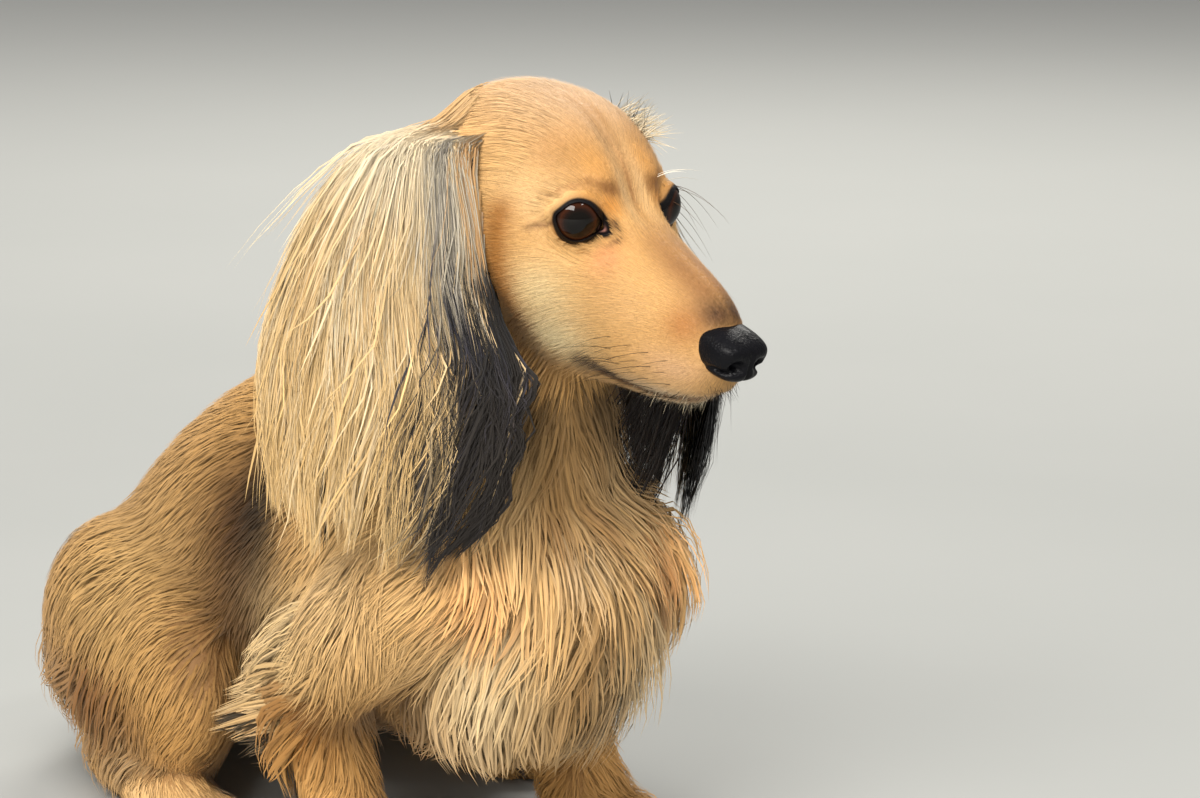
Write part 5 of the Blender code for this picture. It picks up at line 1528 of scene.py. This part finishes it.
def addNose():
    points, faces = ball(np.zeros(3), nose["half"], 140, 90)
    share = points / nose["half"]
    size = (np.abs(share) ** nose["square"]).sum(-1, keepdims=True) ** (1 / nose["square"])
    points = points / np.clip(size, 0.2, None)
    points[:, 2] -= nose["leaning"] * points[:, 0]
    points[:, 1] *= 1 - nose["narrowing"] * np.clip(-points[:, 2], 0, 1)
    made = addMesh("nose_pad", fromHead(pushed(points + nose["set"], nostrils)), faces, noseMaterial())
    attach(made, "root")
    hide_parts("nose")


addNose()
print("nose set")


# Whiskers and single hairs, tapered to nothing
def singleHairs(name, starts, ways, lengths, sag, width, colour, draw, steps=9):
    share = np.linspace(0, 1, steps)[None, :, None]
    ways = unit(ways)
    paths = starts[:, None] + ways[:, None] * lengths[:, None, None] * share
    paths = paths + sag[:, None] * share**2 * lengths[:, None, None]
    over = held(unit(np.cross(ways, [0.3, 0.5, 0.8])), steps)
    taper = np.linspace(1, 0, steps) ** 0.7
    widths = width * draw.uniform(0.7, 1.2, (len(starts), 1)) * taper
    colours = np.tile(colour, (len(starts), steps, 1)) * np.exp(draw.normal(0, 0.2, (len(starts), 1, 1)))
    roots = np.stack([np.linspace(0.02, 0.95, len(starts)), np.full(len(starts), 0.5)], 1)
    return tuftMesh(name, paths, widths, over, colours, roots, coatHair, 1.0)


def smallHairs(name, boxes, draw):
    for number, (centre, half, way, wild, length, sag, width, colour, count, sides) in enumerate(boxes):
        start = np.array(centre) + draw.uniform(-1, 1, (count, 3)) * half
        ways = unit(np.array(way)) + draw.normal(0, wild, (count, 3))
        mirror = np.where(draw.uniform(size=count) < 0.5, 1, -1) if sides == 0 else np.full(count, sides)
        mirror = mirrors(mirror)
        ways = (ways * mirror) @ axesOfHead
        skinAt, normal = onSkin(fromHead(start * mirror))
        lengths, sags = length * draw.uniform(0.6, 1.15, count), np.tile([0.0, 0.0, sag], (count, 1))
        singleHairs(f"{name}_{number}", skinAt - normal * 0.0005, ways, lengths, sags, width, colour, draw)


whisker = {
    "rows": ((-0.033, 4), (-0.0375, 5), (-0.042, 5), (-0.0465, 4)),  # level and number on each side
    "ways": ((-1.0, -0.6), (0.45, 0.75), (-0.3, 0.1)), "lengths": (0.012, 0.026), "width": 0.00019,
    "colour": tint(60, 44, 34),
}


def addWhiskers():
    starts, ways, lengths = [], [], []
    for row, (level, count) in enumerate(whisker["rows"]):
        for side in (1, -1):
            forward = np.linspace(0.052, 0.026, count) + draw.uniform(-0.001, 0.001, count)
            width = smoothRows(forward[::-1], headRows)[::-1][:, 4] - 0.001
            starts.append(np.stack([forward, side * width * (0.97 - 0.05 * row), np.full(count, level)], 1))
            back, out, up = (draw.uniform(*span, count) for span in whisker["ways"])
            ways.append(np.stack([back, side * out, up], 1))
            lengths.append(draw.uniform(*whisker["lengths"], count))
    starts, ways, lengths = fromHead(np.concatenate(starts)), np.concatenate(ways), np.concatenate(lengths)
    sags = np.tile([0.0, 0.0, -0.25], (len(starts), 1))
    width, colour = whisker["width"], whisker["colour"]
    singleHairs("whiskers", starts, ways @ axesOfHead, lengths, sags, width, colour, draw)


# where single hairs grow: centre and half size in the head's space, way and its spread,
# length, sag, width, colour, how many, and on which side (0 for both)
hairBoxes = (
    ([0.046, 0.006, -0.05], [0.012, 0.008, 0.003], [-0.7, 0.3, -0.9], 0.3,
     0.0058, -0.1, 0.00018, tint(206, 190, 160), 220, 0),  # chin and lips
    ([0.06, 0.003, -0.042], [0.003, 0.005, 0.003], [0.5, 0.2, -1.0], 0.35,
     0.0055, -0.1, 0.0002, tint(30, 24, 24), 34, 0),  # below the nose
    ([0.004, 0.018, 0.014], [0.003, 0.004, 0.002], [0.35, 0.75, 0.55], 0.18,
     0.015, -0.35, 0.0002, tint(236, 228, 210), 5, 1),  # brow
    ([0.006, 0.026, 0.004], [0.003, 0.002, 0.004], [0.35, 0.75, -0.25], 0.22,
     0.024, -0.55, 0.0002, tint(84, 62, 44), 7, 1),  # beside the eye
    ([-0.022, 0.024, 0.022], [0.01, 0.004, 0.004], [0.3, 0.6, 0.55], 0.4,
     0.013, -0.1, 0.00026, tint(232, 214, 180), 170, 1),  # fluff at the far ear's top, its pale colour painted rim light
)
addWhiskers()
smallHairs("face_hair", hairBoxes, draw)


# Claws: short dark cones that curve down from the toes
claw = {"length": 0.0095, "thick": 0.0019, "drop": 0.0052, "rings": 9, "around": 12}


def addClaws():
    share, turn = wrapped(claw["rings"], claw["around"])
    size = claw["thick"] * np.sqrt(np.clip(1 - share**1.6, 0.01, 1))
    along = np.stack([claw["length"] * share, 0 * share, -claw["drop"] * share**2], 1)
    ring = along + np.stack([0 * share, np.cos(turn) * size * 0.8, np.sin(turn) * size], 1)
    one = np.concatenate([ring, [[-0.001, 0, 0]], [along[-1] + [0.0006, 0, -0.0004]]])
    places = [[x, y, toes["lift"] + 0.0012] for x, y in toeEnds(toes["half"][0] - 0.0035)]
    starts = (np.arange(len(places)) * len(one))[:, None, None]
    faces = outward(one, cappedFaces(claw["rings"], claw["around"]))
    faces = [(group + starts).reshape(-1, group.shape[1]) for group in faces]
    points = np.concatenate([one + place for place in places])
    points[:, 2] = np.maximum(points[:, 2], 0.0002)
    shader = Shader("claw_horn", 0.32, Specular_IOR_Level=0.5)
    place = shader.place()
    cloud = shader.noise(place, 300.0, 2.0)
    shader.feed("Base Color", shader.blend(cloud, tint(38, 28, 24), tint(96, 74, 56)))
    made = addMesh("claws", points, faces, shader.material)
    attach(made, "root")


addClaws()
print("claws set")
